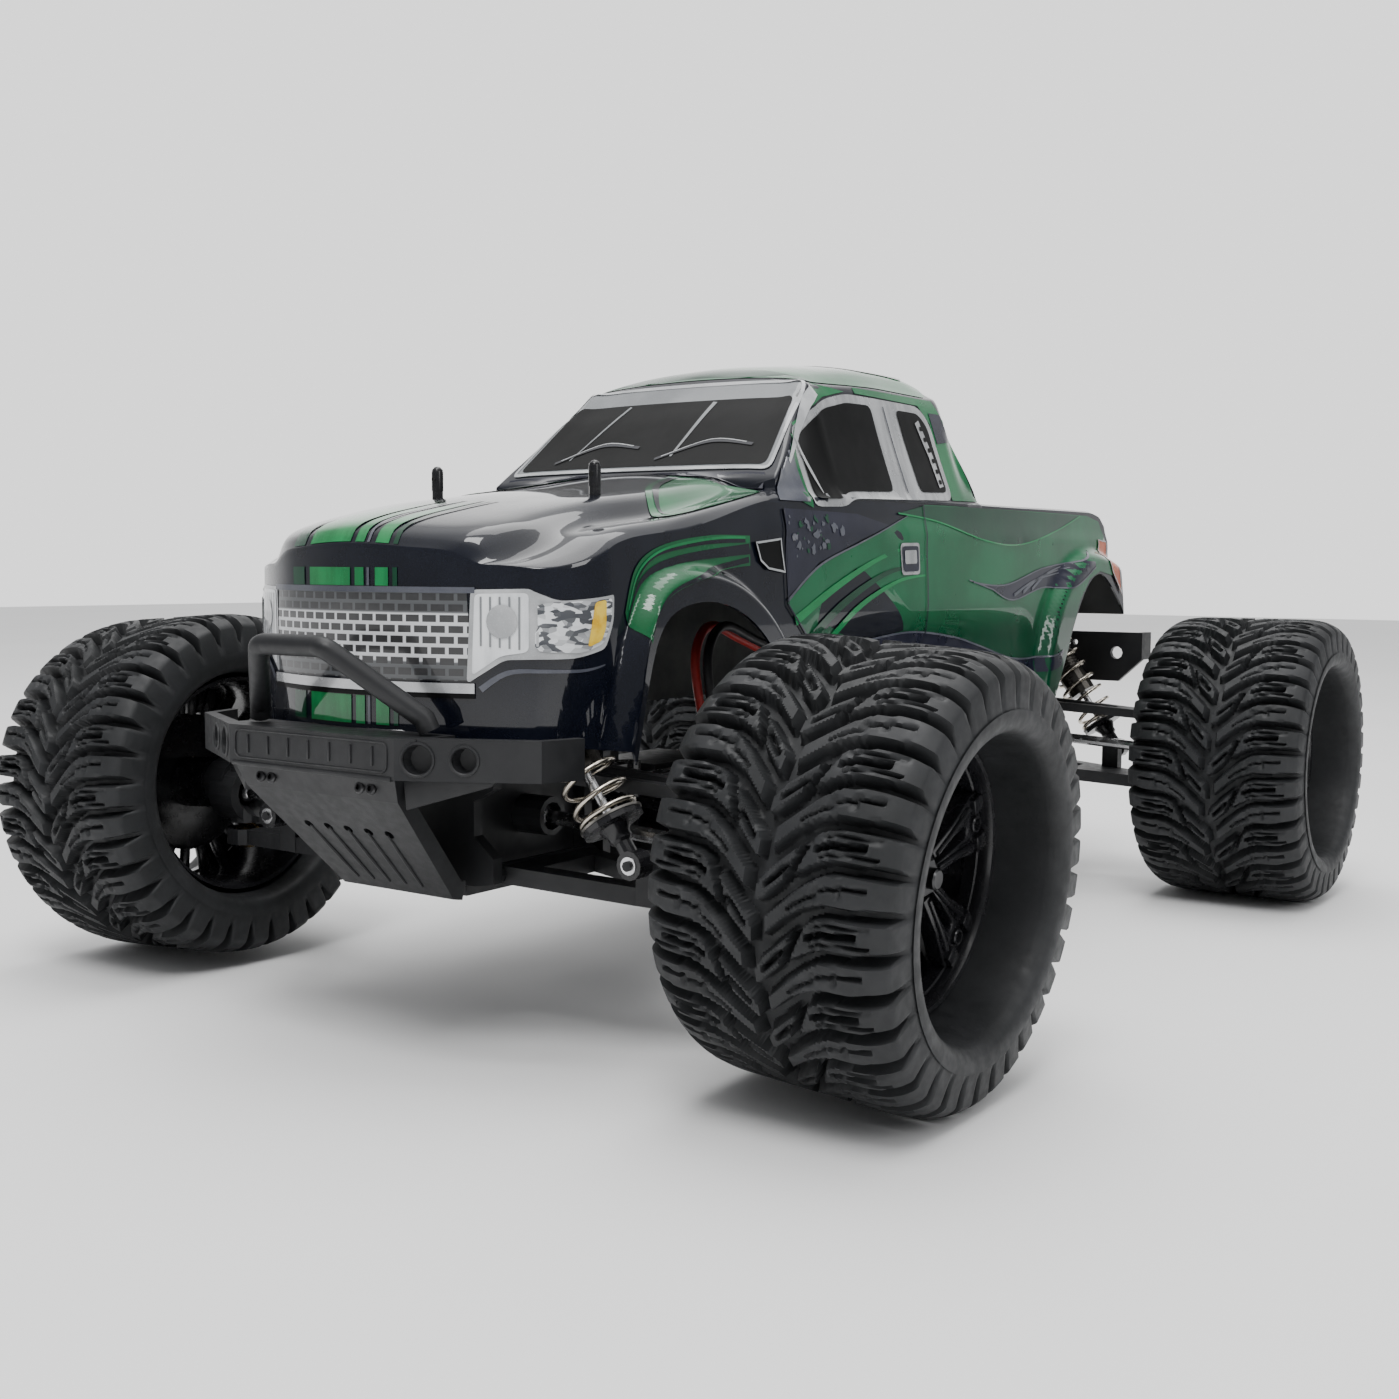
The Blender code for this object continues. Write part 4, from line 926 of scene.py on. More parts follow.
def windows():
    outer = soft_corners(mm([(-98, 214.5), (-68, 215.5), (-60, 219.5), (47, 222.5), (43, 262), (34, 270.5),
                             (-40, 270.5), (-62, 266), (-99, 249)]), 7 * MM)
    outer = dense(outer, 3 * MM, True)
    side_paint("window_frame", outer, 0.3, SILVER, 3)
    front = soft_corners(mm([(-94, 218.5), (-71, 219), (-61, 223), (-17, 224.5), (-19, 266.5), (-42, 266),
                             (-64, 261.5), (-94, 246.5)]), 4 * MM)
    side_paint("door_glass", dense(front, 3 * MM, True), 0.55, GLASS, 3)
    quarter = soft_corners(mm([(12, 225.5), (42, 226.5), (38.5, 260), (31, 266.5), (7, 266.5)]), 4 * MM)
    side_paint("quarter_glass", dense(quarter, 3 * MM, True), 0.55, GLASS, 3)
    seam = ribbon(dense(mm([(-2.5, 224.5), (-6, 267)])), 0.9 * MM)
    side_paint("pillar_seam", seam, 0.6, NAVY, 2)
    louvre = ribbon(dense(mm([(36.5, 229), (33.5, 245), (27, 262)]), 2 * MM), 5.0 * MM)
    side_paint("louvre_plate", louvre, 0.8, SILVER, 2)
    for k in range(6):
        t = k / 5
        y = 36.3 - 6.5 * t ** 1.6
        z = 231.5 + 27 * t
        hole = soft_corners(mm([(y - 1.5, z - 1.1), (y + 1.4, z - 0.9), (y + 1.2, z + 1.4),
                                (y - 1.7, z + 1.1)]), 0.8 * MM)
        side_paint("louvre_hole", hole, 1.0, GLASS, 2)
    mirror = dense(mm([(-126, 216.5), (-100, 216.5), (-103, 246), (-112, 239)]), 3 * MM, True)
    side_paint("mirror_base", mirror, 0.4, SLATE, 3)
    glint = ribbon(dense(mm([(-86, 221), (-93, 236), (-98, 246)]), 2 * MM),
                   lambda t: (0.6 + 1.6 * math.sin(math.pi * t)) * MM)
    side_paint("glass_glint", glint, 0.75, LIGHT, 2)


def flank():
    top = [(-11, 212.5), (10, 219), (40, 219.5), (78, 219.5), (140, 220), (225, 220), (244, 217), (249, 208)]
    low = [(250, 190), (240, 184), (222, 186.5), (205, 182), (190, 170), (178, 152), (168, 128), (160, 112.6),
           (40, 112.6), (-70, 112.6)]
    front = [(-90, 132), (-104, 153), (-124, 172), (-97, 188), (-61, 198), (-29, 207)]
    outline = dense(mm(top + low + front), 4 * MM, True)
    side_paint("flank_green", outline, 0.3, GREEN, 2.2)
    # Painted shade: a darker green band along the top of the flank, just under the rail.
    dark = spline(mm([(-19, 214), (23, 211), (76, 202.5), (122, 201), (176, 210), (214, 219.5)]), 8)
    side_paint("flank_upper", dark + mm([(140, 219.6), (60, 219.4), (10, 218.6)]), 0.45, GREEN_DEEP, 4)
    edge = ribbon(dense(dark, 3 * MM), 0.8 * MM)
    side_paint("flank_upper_line", edge, 0.6, GREEN_BRIGHT, 2)
    flame = spline(mm([(56, 181), (100, 179), (150, 188), (198, 193), (216, 199)]), 6) \
        + spline(mm([(214, 188.6), (182, 177), (150, 176.5), (110, 170), (84, 176)]), 6)
    side_paint("flame", flame, 0.5, NAVY, 4)
    both_sides(band("flame_line", flame, 0.8 * MM, side_mapper(0.7), SLATE))
    for k in range(3):
        lick = spline(mm([(112 + 12 * k, 173 + 1.5 * k), (140 + 9 * k, 181 + 2 * k),
                          (180 + 5 * k, 186 + 2.5 * k)]), 8)
        side_paint("flame_lick", ribbon(dense(lick, 3 * MM), lambda t: (0.4 + 1.6 * (1 - t)) * MM), 0.75,
                   SLATE, 2)
    line = spline(mm([(-92, 149), (-45, 154), (-5, 156), (40, 152), (68, 147), (113, 138), (150, 138),
                      (166, 141)]), 8)
    under = spline(mm([(164, 132), (150, 129.5), (113, 129), (68, 139), (40, 145), (-5, 149), (-45, 148),
                       (-88, 144)]), 8)
    side_paint("sill_scallop", line + under, 0.45, NAVY, 4)
    side_paint("sill_line", ribbon(dense(line, 3 * MM), 1.0 * MM), 0.65, SLATE, 2)
    for name, points, width, paint in (
            ("door_line", [(-124, 173), (-97, 188), (-61, 198.4), (-29, 207.4), (-9, 213)], 1.3, SLATE),
            ("door_band_a", [(-118, 164), (-84, 178), (-46, 190.5), (-16, 197)], 4.5, GREEN_BRIGHT),
            ("door_band_b", [(-92, 152), (-62, 169), (-23, 181), (6, 184)], 3.6, GREEN_BRIGHT),
            ("door_band_c", [(-106, 155), (-76, 171), (-38, 184), (-6, 189)], 5.0, GREEN_DEEP)):
        path = spline(mm(points), 10)
        side_paint(name, ribbon(dense(path, 3 * MM), lambda t, w=width: w * MM * (1 - 0.75 * t)), 0.5,
                   paint, 2)
    for name, points in (("door_seam_front",
                          [(-124, 213), (-125, 190), (-124, 171), (-104, 153), (-98, 118)]),
                         ("door_seam_rear", [(8, 219), (8, 170), (2, 118)])):
        side_paint(name, ribbon(dense(mm(points), 3 * MM), 0.9 * MM), 0.8, NAVY, 2)
    handle = soft_corners(mm([(-20, 199.5), (0, 200), (0, 184.5), (-19, 184)]), 2.5 * MM)
    side_paint("handle_frame", handle, 0.7, SILVER, 2)
    inner = soft_corners(mm([(-18.4, 198), (-1.5, 198.4), (-1.5, 186), (-17.6, 185.6)]), 2 * MM)
    side_paint("handle_cup", inner, 0.9, NAVY, 2)
    plate = soft_corners(mm([(-16.5, 196), (-4, 196.4), (-4, 189.8), (-16.2, 189.4)]), 1.2 * MM)
    side_paint("handle_plate", plate, 1.1, SILVER, 2)


def fender():
    upper = spline(mm([(-258, 170), (-243, 186), (-215, 195.5), (-182, 200), (-152, 200.5)]), 8)
    lower = spline(mm([(-153, 188), (-170, 186.5), (-205, 181), (-238, 170), (-250, 158)]), 8)
    side_paint("fender_green", dense(upper + lower, 1.6 * MM, True), 0.35, GREEN_CAB, 1.6)
    for k, (points, width) in enumerate((([(-256, 166), (-238, 181), (-205, 190), (-153, 195)], 3.6),
                                         ([(-250, 161), (-228, 175), (-196, 184), (-154, 190.5)], 2.0),
                                         ([(-250, 176), (-225, 190), (-190, 196.5), (-156, 198.5)], 1.5))):
        path = spline(mm(points), 10)
        side_paint("fender_stripe", ribbon(dense(path, 3 * MM), lambda t, w=width: w * MM * (0.25 + t)),
                   0.55, NIGHT, 2)
    # Painted highlight: a bright green line laid along the fender crest where the light catches its crown.
    fender_crest_highlight = spline(mm([(-254, 171), (-240, 184.5), (-214, 194), (-180, 198.8), (-156, 199.6)]), 10)
    side_paint("fender_painted_highlight", ribbon(dense(fender_crest_highlight, 3 * MM), 1.0 * MM), 0.6, GREEN_BRIGHT, 2)
    vent = dense(mm([(-149, 198), (-129, 200), (-126.5, 185), (-140, 186.5), (-146, 190)]), 2 * MM, True)
    side_paint("vent", vent, 0.75, GLASS, 2)
    both_sides(band("vent_line", vent, 0.9 * MM, side_mapper(0.95), LIGHT))
    wedge = dense(mm([(-124, 213), (-60, 212.5), (-30, 208), (-62, 199.5), (-97, 189.5), (-123, 175)]),
                  4 * MM, True)
    side_paint("door_wedge", wedge, 0.4, NAVY, 4)
    for k in range(46):
        y = random.gauss(-100, 13)
        z = random.gauss(201, 6.5)
        if not (-122 < y < -72 and 186 + (y + 122) * 0.3 < z < 212):
            continue
        size = random.uniform(0.5, 2.4)
        points = []
        for j in range(9):
            a = 2 * math.pi * j / 9
            r = size * random.uniform(0.45, 1.35)
            points.append((y + r * math.cos(a), z + r * math.sin(a)))
        side_paint("splatter", mm(points), 0.6, SLATE if k % 3 else GREEN_DEEP, 2)
    lamp = dense(mm([(238, 206), (249.5, 205), (250.2, 172), (240, 186), (236.5, 195)]), 2 * MM, True)
    side_paint("tail_lamp_side", lamp, 0.6, ORANGE, 2)
    both_sides(band("tail_lamp_line", lamp, 0.8 * MM, side_mapper(0.8), LIGHT))


def top_paint():
    stripes = ((-36, -27, GREEN_DEEP), (-23, 1.5, GREEN_STRIPE), (4, 8.5, GREEN_STRIPE), (10, 11.2, SLATE),
               (14, 20, GREEN_STRIPE), (22, 24, GREEN_DEEP))
    for x0, x1, paint in stripes:
        outline = dense(mm([(x0, -295.9), (x1, -295.9), (x1, -238), (x0, -238)]), 1.5 * MM, True)
        upper_paint("hood_stripe", outline, 0.4, paint, 1.5)
        for name, z0, z1 in (("chin_stripe", 127.6, 138.4), ("brow_stripe", 179.6, 186.4)):
            low = dense(mm([(x0, z0), (x1, z0), (x1, z1), (x0, z1)]), 2 * MM, True)
            PAINTED.append(patch(name, low, wrap_mapper(0.35), paint, 2 * MM))
    rear = spline(mm([(28, -128), (40, -160), (58, -186), (74, -196), (78, -168), (79, -132)]), 8)
    both_sides(patch("hood_green", rear, top_mapper(0.3), GREEN_CAB, 3 * MM))
    streak = spline(mm([(34, -134), (46, -162), (62, -184), (73, -190)]), 10)
    both_sides(patch("hood_streak", ribbon(dense(streak, 3 * MM), lambda t: 4.5 * MM * (1 - 0.8 * t)),
                     top_mapper(0.5), NIGHT, 2 * MM))
    cowl = dense(mm([(-76, -126), (76, -126), (74, -121), (-74, -121)]), 3 * MM, True)
    upper_paint("cowl", cowl, 0.35, NAVY, 3)
    frame_ = soft_corners(mm([(-75.5, -119.5), (75.5, -119.5), (64.5, -70), (-64.5, -70)]), 5 * MM)
    upper_paint("screen_frame", dense(frame_, 3 * MM, True), 0.35, BANNER, 3)
    rim_line = dense(frame_, 3 * MM, True)
    PAINTED.append(band("screen_line", rim_line, 1.6 * MM, top_mapper(0.55), LIGHT))
    glass = soft_corners(mm([(-71.5, -117), (71.5, -117), (63, -79.5), (-63, -79.5)]), 4 * MM)
    upper_paint("screen_glass", dense(glass, 3 * MM, True), 0.6, GLASS, 3)
    for x0, x1, width in ((16, 20, 2.6), (-44, -30, 1.6)):
        glint = ribbon(dense(mm([(x0, -112), (x1, -81)]), 2 * MM),
                       lambda t, w=width: w * MM * (0.5 + 0.5 * t))
        upper_paint("screen_glint", glint, 0.8, BANNER, 2)
    for x0, x1 in ((-52, -6), (8, 58)):
        wiper = spline(mm([(x0, -113.5), ((x0 + x1) / 2, -104.5), (x1, -106.5)]), 14)
        upper_paint("wiper", ribbon(dense(wiper, 2 * MM), 1.5 * MM), 0.95, NIGHT, 2)
        shine = spline(mm([(x0 + 3, -112.2), ((x0 + x1) / 2, -103.6), (x1 - 4, -105.4)]), 14)
        upper_paint("wiper_shine", ribbon(dense(shine, 2 * MM), 0.4 * MM), 1.05, LIGHT, 2)
    roof = soft_corners(mm([(-62, -67.5), (62, -67.5), (64, -20), (64, 52), (-64, 52), (-64, -20)]), 6 * MM)
    upper_paint("roof_green", dense(roof, 3 * MM, True), 0.3, GREEN_CAB, 3)
    crest = spline(mm([(-60, -66), (-30, -58), (0, -54), (30, -58), (60, -66)]), 8)
    upper_paint("roof_crest", crest + mm([(30, -67), (-30, -67)]), 0.5, GREEN_DEEP, 3)
    panel = soft_corners(mm([(-50, -4), (50, -4), (56, 44), (-56, 44)]), 9 * MM)
    upper_paint("roof_panel", dense(panel, 3 * MM, True), 0.55, NAVY, 3)
    PAINTED.append(band("roof_panel_line", dense(panel, 3 * MM, True), 1.0 * MM, top_mapper(0.75), SLATE))
    back = dense(mm([(-58, 60), (58, 60), (66, 74), (-66, 74)]), 2 * MM, True)
    upper_paint("rear_glass", back, 0.6, GLASS, 3)
    bed = dense(mm([(-66, 85), (66, 85), (66, 237), (-66, 237)]), 6 * MM, True)
    liner = patch("bed_liner", bed, top_mapper(0.25), LINER, 6 * MM)
    PAINTED.append(liner)


def pillars():
    """Green sides of the cab above the belt, round the windows."""
    front = dense(mm([(-121, 220), (-98, 214), (-99, 250), (-62, 267), (-40, 271.5), (-66, 273.5), (-84, 258),
                      (-104, 240)]), 3 * MM, True)
    side_paint("pillar_front", front, 0.28, GREEN_CAB, 3)
    shine = ribbon(dense(mm([(-108, 234), (-92, 249.5), (-76, 264), (-68, 270)]), 2 * MM),
                   lambda t: (2.0 + 4.2 * t) * MM)
    side_paint("pillar_shine", shine, 0.5, LIGHT, 2)
    rear = dense(mm([(46, 222.5), (43, 262), (34, 271), (-30, 271.5), (-30, 274.5), (52, 275), (62, 262),
                     (76, 223)]), 3 * MM, True)
    side_paint("pillar_rear", rear, 0.28, GREEN_CAB, 3)
    dark = dense(mm([(44, 268), (57, 268), (62, 254), (46, 252)]), 3 * MM, True)
    side_paint("pillar_dark", dark, 0.5, NAVY, 3)


def nose():
    grille = dense(mm([(-53, 145), (53, 145), (51, 177.5), (-51, 177.5)]), 3 * MM, True)
    PAINTED.append(patch("grille", grille, wrap_mapper(0.3), GRILLE, 3 * MM))
    for name, low, high, paint, lift in (("grille_top", 177.2, 179.4, SLATE, 0.6),
                                         ("grille_base", 140.5, 144.2, SILVER, 0.9),
                                         ("grille_shade", 138.6, 140.4, GLASS, 0.6)):
        strip = dense(mm([(-54, low), (54, low), (54, high), (-54, high)]), 3 * MM, True)
        PAINTED.append(patch(name, strip, wrap_mapper(lift), paint, 3 * MM))
    lamp = soft_corners(mm([(51, 144), (52.5, 178.5), (73, 179), (76, 174.5), (100, 177), (99, 168),
                            (92, 157), (80, 153.5), (64, 153)]),
                        2.2 * MM)
    front_paint("lamp_frame", dense(lamp, 2 * MM, True), 0.5, LIGHT, 2)
    clear = soft_corners(mm([(53, 147), (54, 177), (72, 177.5), (72, 156), (63, 154.5)]), 2 * MM)
    front_paint("lamp_clear", dense(clear, 2 * MM, True), 0.75, LENS, 2)
    inner = soft_corners(mm([(74, 156), (74, 174), (98, 175.5), (97, 168.5), (91, 159), (82, 155.5)]), 2 * MM)
    front_paint("lamp_inner", dense(inner, 2 * MM, True), 0.75, REFLECTOR, 2)
    amber = soft_corners(mm([(84, 157.5), (87, 174.2), (93, 175), (92.5, 165), (90, 160)]), 1.6 * MM)
    front_paint("lamp_amber", dense(amber, 2 * MM, True), 1.0, AMBER, 2)
    for k in range(5):
        x = 56 + 3.2 * k
        rib = dense(mm([(x, 158 - k * 0.3), (x + 0.7, 158 - k * 0.3), (x + 0.7, 176), (x, 176)]), 2 * MM,
                    True)
        front_paint("lens_rib", rib, 1.0, BANNER, 2)
    bulb = [(63.5 + 5.2 * math.cos(2 * math.pi * k / 20),
             167 + 6.2 * math.sin(2 * math.pi * k / 20)) for k in range(20)]
    front_paint("lamp_bulb", mm(bulb), 1.15, LIGHT, 2)
    lip = spline(mm([(56, 142), (66, 148.5), (82, 149), (92, 151)]), 10)
    front_paint("lamp_lip", ribbon(dense(lip, 2 * MM), lambda t: 2.4 * MM * (1 - 0.8 * t)), 0.7, SLATE, 2)


def tail_end():
    """Tailgate seam and lamps on the back of the bed."""
    def back(x, z, lift=0.4 * MM):
        return (x, TAIL_Y + plan_shift(x, TAIL_Y, z) + lift, z)
    for side in (-1, 1):
        lamp = dense(mm([(side * 72, 205), (side * 86, 205), (side * 87, 172), (side * 74, 172)]), 3 * MM,
                     True)
        PAINTED.append(patch("tail_lamp", lamp, back, ORANGE, 3 * MM))
    gate = soft_corners(mm([(-68, 164), (68, 164), (68, 208), (-68, 208)]), 4 * MM)
    PAINTED.append(patch("tailgate", dense(gate, 3 * MM, True), back, GREEN_DEEP, 4 * MM))
    PAINTED.append(band("tailgate_line", dense(gate, 3 * MM, True), 1.0 * MM,
                        lambda x, z: back(x, z, 0.6 * MM), NIGHT))
    pull = soft_corners(mm([(-13, 196), (13, 196), (13, 203), (-13, 203)]), 2 * MM)
    PAINTED.append(patch("tailgate_pull", pull, lambda x, z: back(x, z, 0.7 * MM), SILVER, 2 * MM))


build_shell()
windows()
flank()
fender()
top_paint()
pillars()
nose()
tail_end()
livery = join("shell_livery", PAINTED)
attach(livery, "shell")


# ------------------------------------------------------------------ tyres
PERIODS = 18
ROWS = 30
PITCH = 2 * math.pi * 80 / PERIODS
TREAD_BASE = ((0, 74.8), (20, 74.6), (32, 73.4), (38, 71.2), (42.5, 68.2), (45.8, 64.5), (47, 60))
TREAD_TOP = ((0, 80), (28, 80), (36, 79.2), (41, 77.4), (44.5, 74.8), (46.2, 72.6), (47, 64))
SWEEP = ((0, 0), (17, 15.5), (25, 19), (47, 20.2))
SIDEWALL = ((47.2, 62), (47.4, 60.5), (47.2, 59), (46.9, 57.4), (46.2, 55.8), (45.2, 54.6), (43.6, 53.6),
            (41, 52.9),
            (36, 52.3), (30, 51.7), (24, 51.2), (20, 50.5))


def ledge(value, soft=0.9):
    """0 outside, 1 inside, with a short slope between."""
    return min(max(value / soft + 0.5, 0.0), 1.0)


def tread(s, t):
    """Height share of the lugs at s mm from the crown and t mm round it."""
    bend = glide(SWEEP, min(s, 46.9))
    u = (t - bend + PITCH / 2) % PITCH - PITCH / 2
    v = (t - bend - PITCH / 2 + PITCH / 2) % PITCH - PITCH / 2
    half = 3.6 + 1.6 * smoothstep(8, 28, s)
    rib = ledge(half - abs(u)) * ledge(s - 3.5)
    drift = 1.1 if s > 29 else (0.2 if s > 21 else -0.9)
    cut = ledge(0.5 - abs(u - drift), 0.5) * ledge(s - 12) * ledge(38 - s)
    tick = max(ledge(0.5 - abs(s - 21), 0.5), ledge(0.5 - abs(s - 29), 0.5)) * ledge(2.2 - abs(u))
    height = rib * (1 - 0.4 * max(cut, tick))
    pair = ledge(5.3 - abs(v)) * ledge(s - 15.5 - 0.6 * v)
    slot_ = ledge(0.9 - abs(v), 0.6) * ledge(s - 19) * ledge(36 - s)
    lines = ledge(0.4 - abs(abs(v) - 3.0), 0.5) * ledge(s - 21) * ledge(40 - s)
    height = max(height, pair * (1 - 0.85 * slot_) * (1 - 0.3 * lines))
    lobe = ledge(4.5 - math.hypot(v, max(3.4 - s, 0.0) * 1.1)) * ledge(12.2 + 0.6 * v - s)
    lobe_slot = ledge(0.9 - abs(v), 0.6) * ledge(s - 3.4) * ledge(10.5 - s)
    return max(height, lobe * (1 - 0.8 * lobe_slot))


def across():
    """Sample places over half the width, closer where the lugs turn down."""
    steps = [0.5 + k for k in range(43)] + [43.3, 44.1, 44.9, 45.7, 46.4, 47.0]
    return steps


def tyre_mesh():
    half = across()
    cells = [-s for s in reversed(half)] + half
    around = PERIODS * ROWS
    vertices = []
    heights = {}
    for side in (-1, 1):
        for row in range(ROWS):
            for s in half:
                t = PITCH * row / ROWS + (PITCH / 2 if side < 0 else 0.0)
                fade = ledge(46.1 - s, 0.9)
                share = tread(s, t) * fade
                low = glide(TREAD_BASE, min(s, 46.99))
                high = glide(TREAD_TOP, min(s, 46.99))
                heights[side, row, s] = low + (high - low) * share
    rings = [(-s, r) for s, r in reversed(SIDEWALL)]
    total = len(rings) * 2 + len(cells)
    for k in range(around):
        a = -2 * math.pi * k / around
        ca, sa = math.cos(a), math.sin(a)
        line = list(rings)
        for s in cells:
            line.append((s, heights[1 if s > 0 else -1, k % ROWS, abs(s)]))
        line += [(s, r) for s, r in SIDEWALL]
        for s, r in line:
            vertices.append((s * MM, -r * ca * MM, -r * sa * MM))
    faces = []
    for k in range(around):
        m = (k + 1) % around
        for j in range(total - 1):
            faces.append((k * total + j, k * total + j + 1, m * total + j + 1, m * total + j))
    item = make("tyre", vertices, faces, RUBBER, 50)
    return outward(item)


def hoop(name, profile):
    """Closed ring round X, from the (radius, x) corners of its section in mm."""
    vertices = []
    for r, x in profile:
        for k in range(RIM_SEGMENTS):
            a = 2 * math.pi * k / RIM_SEGMENTS
            vertices.append((x * MM, r * MM * math.cos(a), r * MM * math.sin(a)))
    faces = []
    for j in range(len(profile)):
        low = j * RIM_SEGMENTS
        high = (j + 1) % len(profile) * RIM_SEGMENTS
        for k in range(RIM_SEGMENTS):
            m = (k + 1) % RIM_SEGMENTS
            faces.append((low + k, low + m, high + m, high + k))
    return outward(make(name, vertices, faces, GLOSS, 30))


def rim_mesh():
    """Deep black wheel: lipped barrel, six forked spokes, hub with its hexagon nut."""
    barrel = ((50.0, -36), (50.0, 20.5), (49.0, 22.5), (47.6, 22.0), (46.6, 20.0), (46.4, 17.0),
              (45.6, 16.6), (45.4, 12),
              (46.6, 11), (46.6, -30), (48.4, -35.6))
    items = [hoop("barrel", barrel)]
    for spoke in range(6):
        turn = Matrix.Rotation(math.radians(60 * spoke + 12), 4, "X")
        fork = [(9, -5.2), (26, -7.4), (39, -11.2), (46.3, -12.2), (46.3, 12.2), (39, 11.2), (26, 7.4),
                (9, 5.2),
                (9, 1.0), (22, 1.9), (34, 2.3), (35.6, 1.5), (36, 0), (35.6, -1.5), (34, -2.3), (22, -1.9),
                (9, -1.0)]
        arm = prism("spoke", mm(fork), "x", 11 * MM, 17.5 * MM, GLOSS, 0.7 * MM)
        parts = [arm]
        for w in (-1, 1):
            rail = [(17.6 * MM, r * MM, w * q * MM) for r, q in ((12, 2.6), (24, 4.4), (34, 6.2), (38, 7.6))]
            parts.append(tube("rail", rail, lambda t: (1.0 + 0.5 * t) * MM, GLOSS, 8))
            hook = [(17.5 * MM, r * MM, w * q * MM) for r, q in
                    ((29, 3.6), (37, 4.6), (38.6, 5.8), (38.2, 7.4), (36, 8.0), (31, 7.4))]
            parts.append(tube("hook", hook, 0.55 * MM, GLOSS, 6))
            foot = block("foot", (10 * MM, 39.5 * MM, (w * 7.6 - 3.0) * MM),
                         (19.6 * MM, 46.4 * MM, (w * 7.6 + 3.0) * MM),
                         GLOSS, 0.6 * MM)
            parts.append(foot)
        socket = turned("socket", (14 * MM, 41.5 * MM, 0), (19 * MM, 41.5 * MM, 0),
                        ((3.2 * MM, 0), (3.2 * MM, 4.6 * MM), (2.8 * MM, 5 * MM), (2.2 * MM, 5 * MM),
                         (1.9 * MM, 3.4 * MM),
                         (0.2 * MM, 3.4 * MM)), GLOSS, 20)
        parts.append(socket)
        for part in parts:
            part.data.transform(turn)
        items += parts
    for k in range(24):
        bar = block("vent_bar", (3 * MM, 30 * MM, -2.0 * MM), (6 * MM, 47 * MM, 2.0 * MM), GLOSS, 0.3 * MM)
        bar.data.transform(Matrix.Rotation(math.radians(15 * k), 4, "X"))
        items.append(bar)
    ring = ((8, 2.6), (8, 6.4), (31, 6.4), (33, 5.6), (33, 3.2), (31, 2.6))
    items.append(hoop("web", ring))
    hub = turned("hub", (-21 * MM, 0, 0), (20 * MM, 0, 0),
                 ((12 * MM, 0), (12 * MM, 33 * MM), (11 * MM, 38 * MM), (9.4 * MM, 39.5 * MM),
                  (9.0 * MM, 37 * MM),
                  (6.4 * MM, 36.6 * MM)), GLOSS, 48)
    items.append(hub)
    nut = turned("nut", (15 * MM, 0, 0), (22 * MM, 0, 0),
                 ((7.6 * MM, 0), (7.6 * MM, 4.6 * MM), (6.6 * MM, 5.6 * MM),
                 (5.4 * MM, 5.6 * MM)), SCREW, 6, 20)
    tip = turned("axle_tip", (15 * MM, 0, 0), (25 * MM, 0, 0),
                 ((3.8 * MM, 0), (3.8 * MM, 8.6 * MM), (3.2 * MM, 9.2 * MM)),
                 SCREW, 20)
    return join("rim", items + [nut, tip])


def wheels():
    tyre = tyre_mesh()
    rim = rim_mesh()
    meshes = {1: (tyre.data, rim.data)}
    flipped = (mirrored(tyre, "tyre_flip"), mirrored(rim, "rim_flip"))
    meshes[-1] = (flipped[0].data, flipped[1].data)
    for item in (tyre, rim) + flipped:
        bpy.data.objects.remove(item, do_unlink=True)
    for name, side, end in CORNERS:
        camber = CAMBER if end < 0 else 0.0
        lift = FRONT_LIFT if end < 0 else 0.0
        place = Matrix.Translation((side * HALF_TRACK, axle_y(end), AXLE_Z + lift)) \
            @ Matrix.Rotation(side * camber, 4, "Y")
        roll = Matrix.Rotation(math.radians(7.0 * side + 23 * (end > 0)), 4, "X")
        for kind, mesh in zip(("tyre", "rim"), meshes[side]):
            mesh = mesh.copy()
            mesh.transform(roll)
            item = bpy.data.objects.new(f"{name}_{kind}_look", mesh)
            bpy.context.collection.objects.link(item)
            item.matrix_world = place
            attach(item, name + "_wheel")
            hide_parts(f"{name}_{kind}")


wheels()


# ------------------------------------------------------------------ chassis pieces kept from the frame
SHOCK = surface("shock_body_look", (0.045, 0.042, 0.038), (0.085, 0.08, 0.072), 0.25, 0.36, 1.0, 1500.0, 0.06)


def dress(node, material, bevel=0.45 * MM, angle=35.0):
    item = bpy.data.objects[node]
    item.data.materials.clear()
    item.data.materials.append(material)
    for face in item.data.polygons:
        face.use_smooth = True
    item.data.set_sharp_from_angle(angle=math.radians(angle))
    if bevel:
        flat = item.modifiers.new("flats", "DECIMATE")
        flat.decimate_type = "DISSOLVE"
        flat.angle_limit = math.radians(0.6)
        edge = item.modifiers.new("edges", "BEVEL")
        edge.width = bevel
        edge.segments = 2
        edge.limit_method = "ANGLE"
        edge.angle_limit = math.radians(angle)
    return item


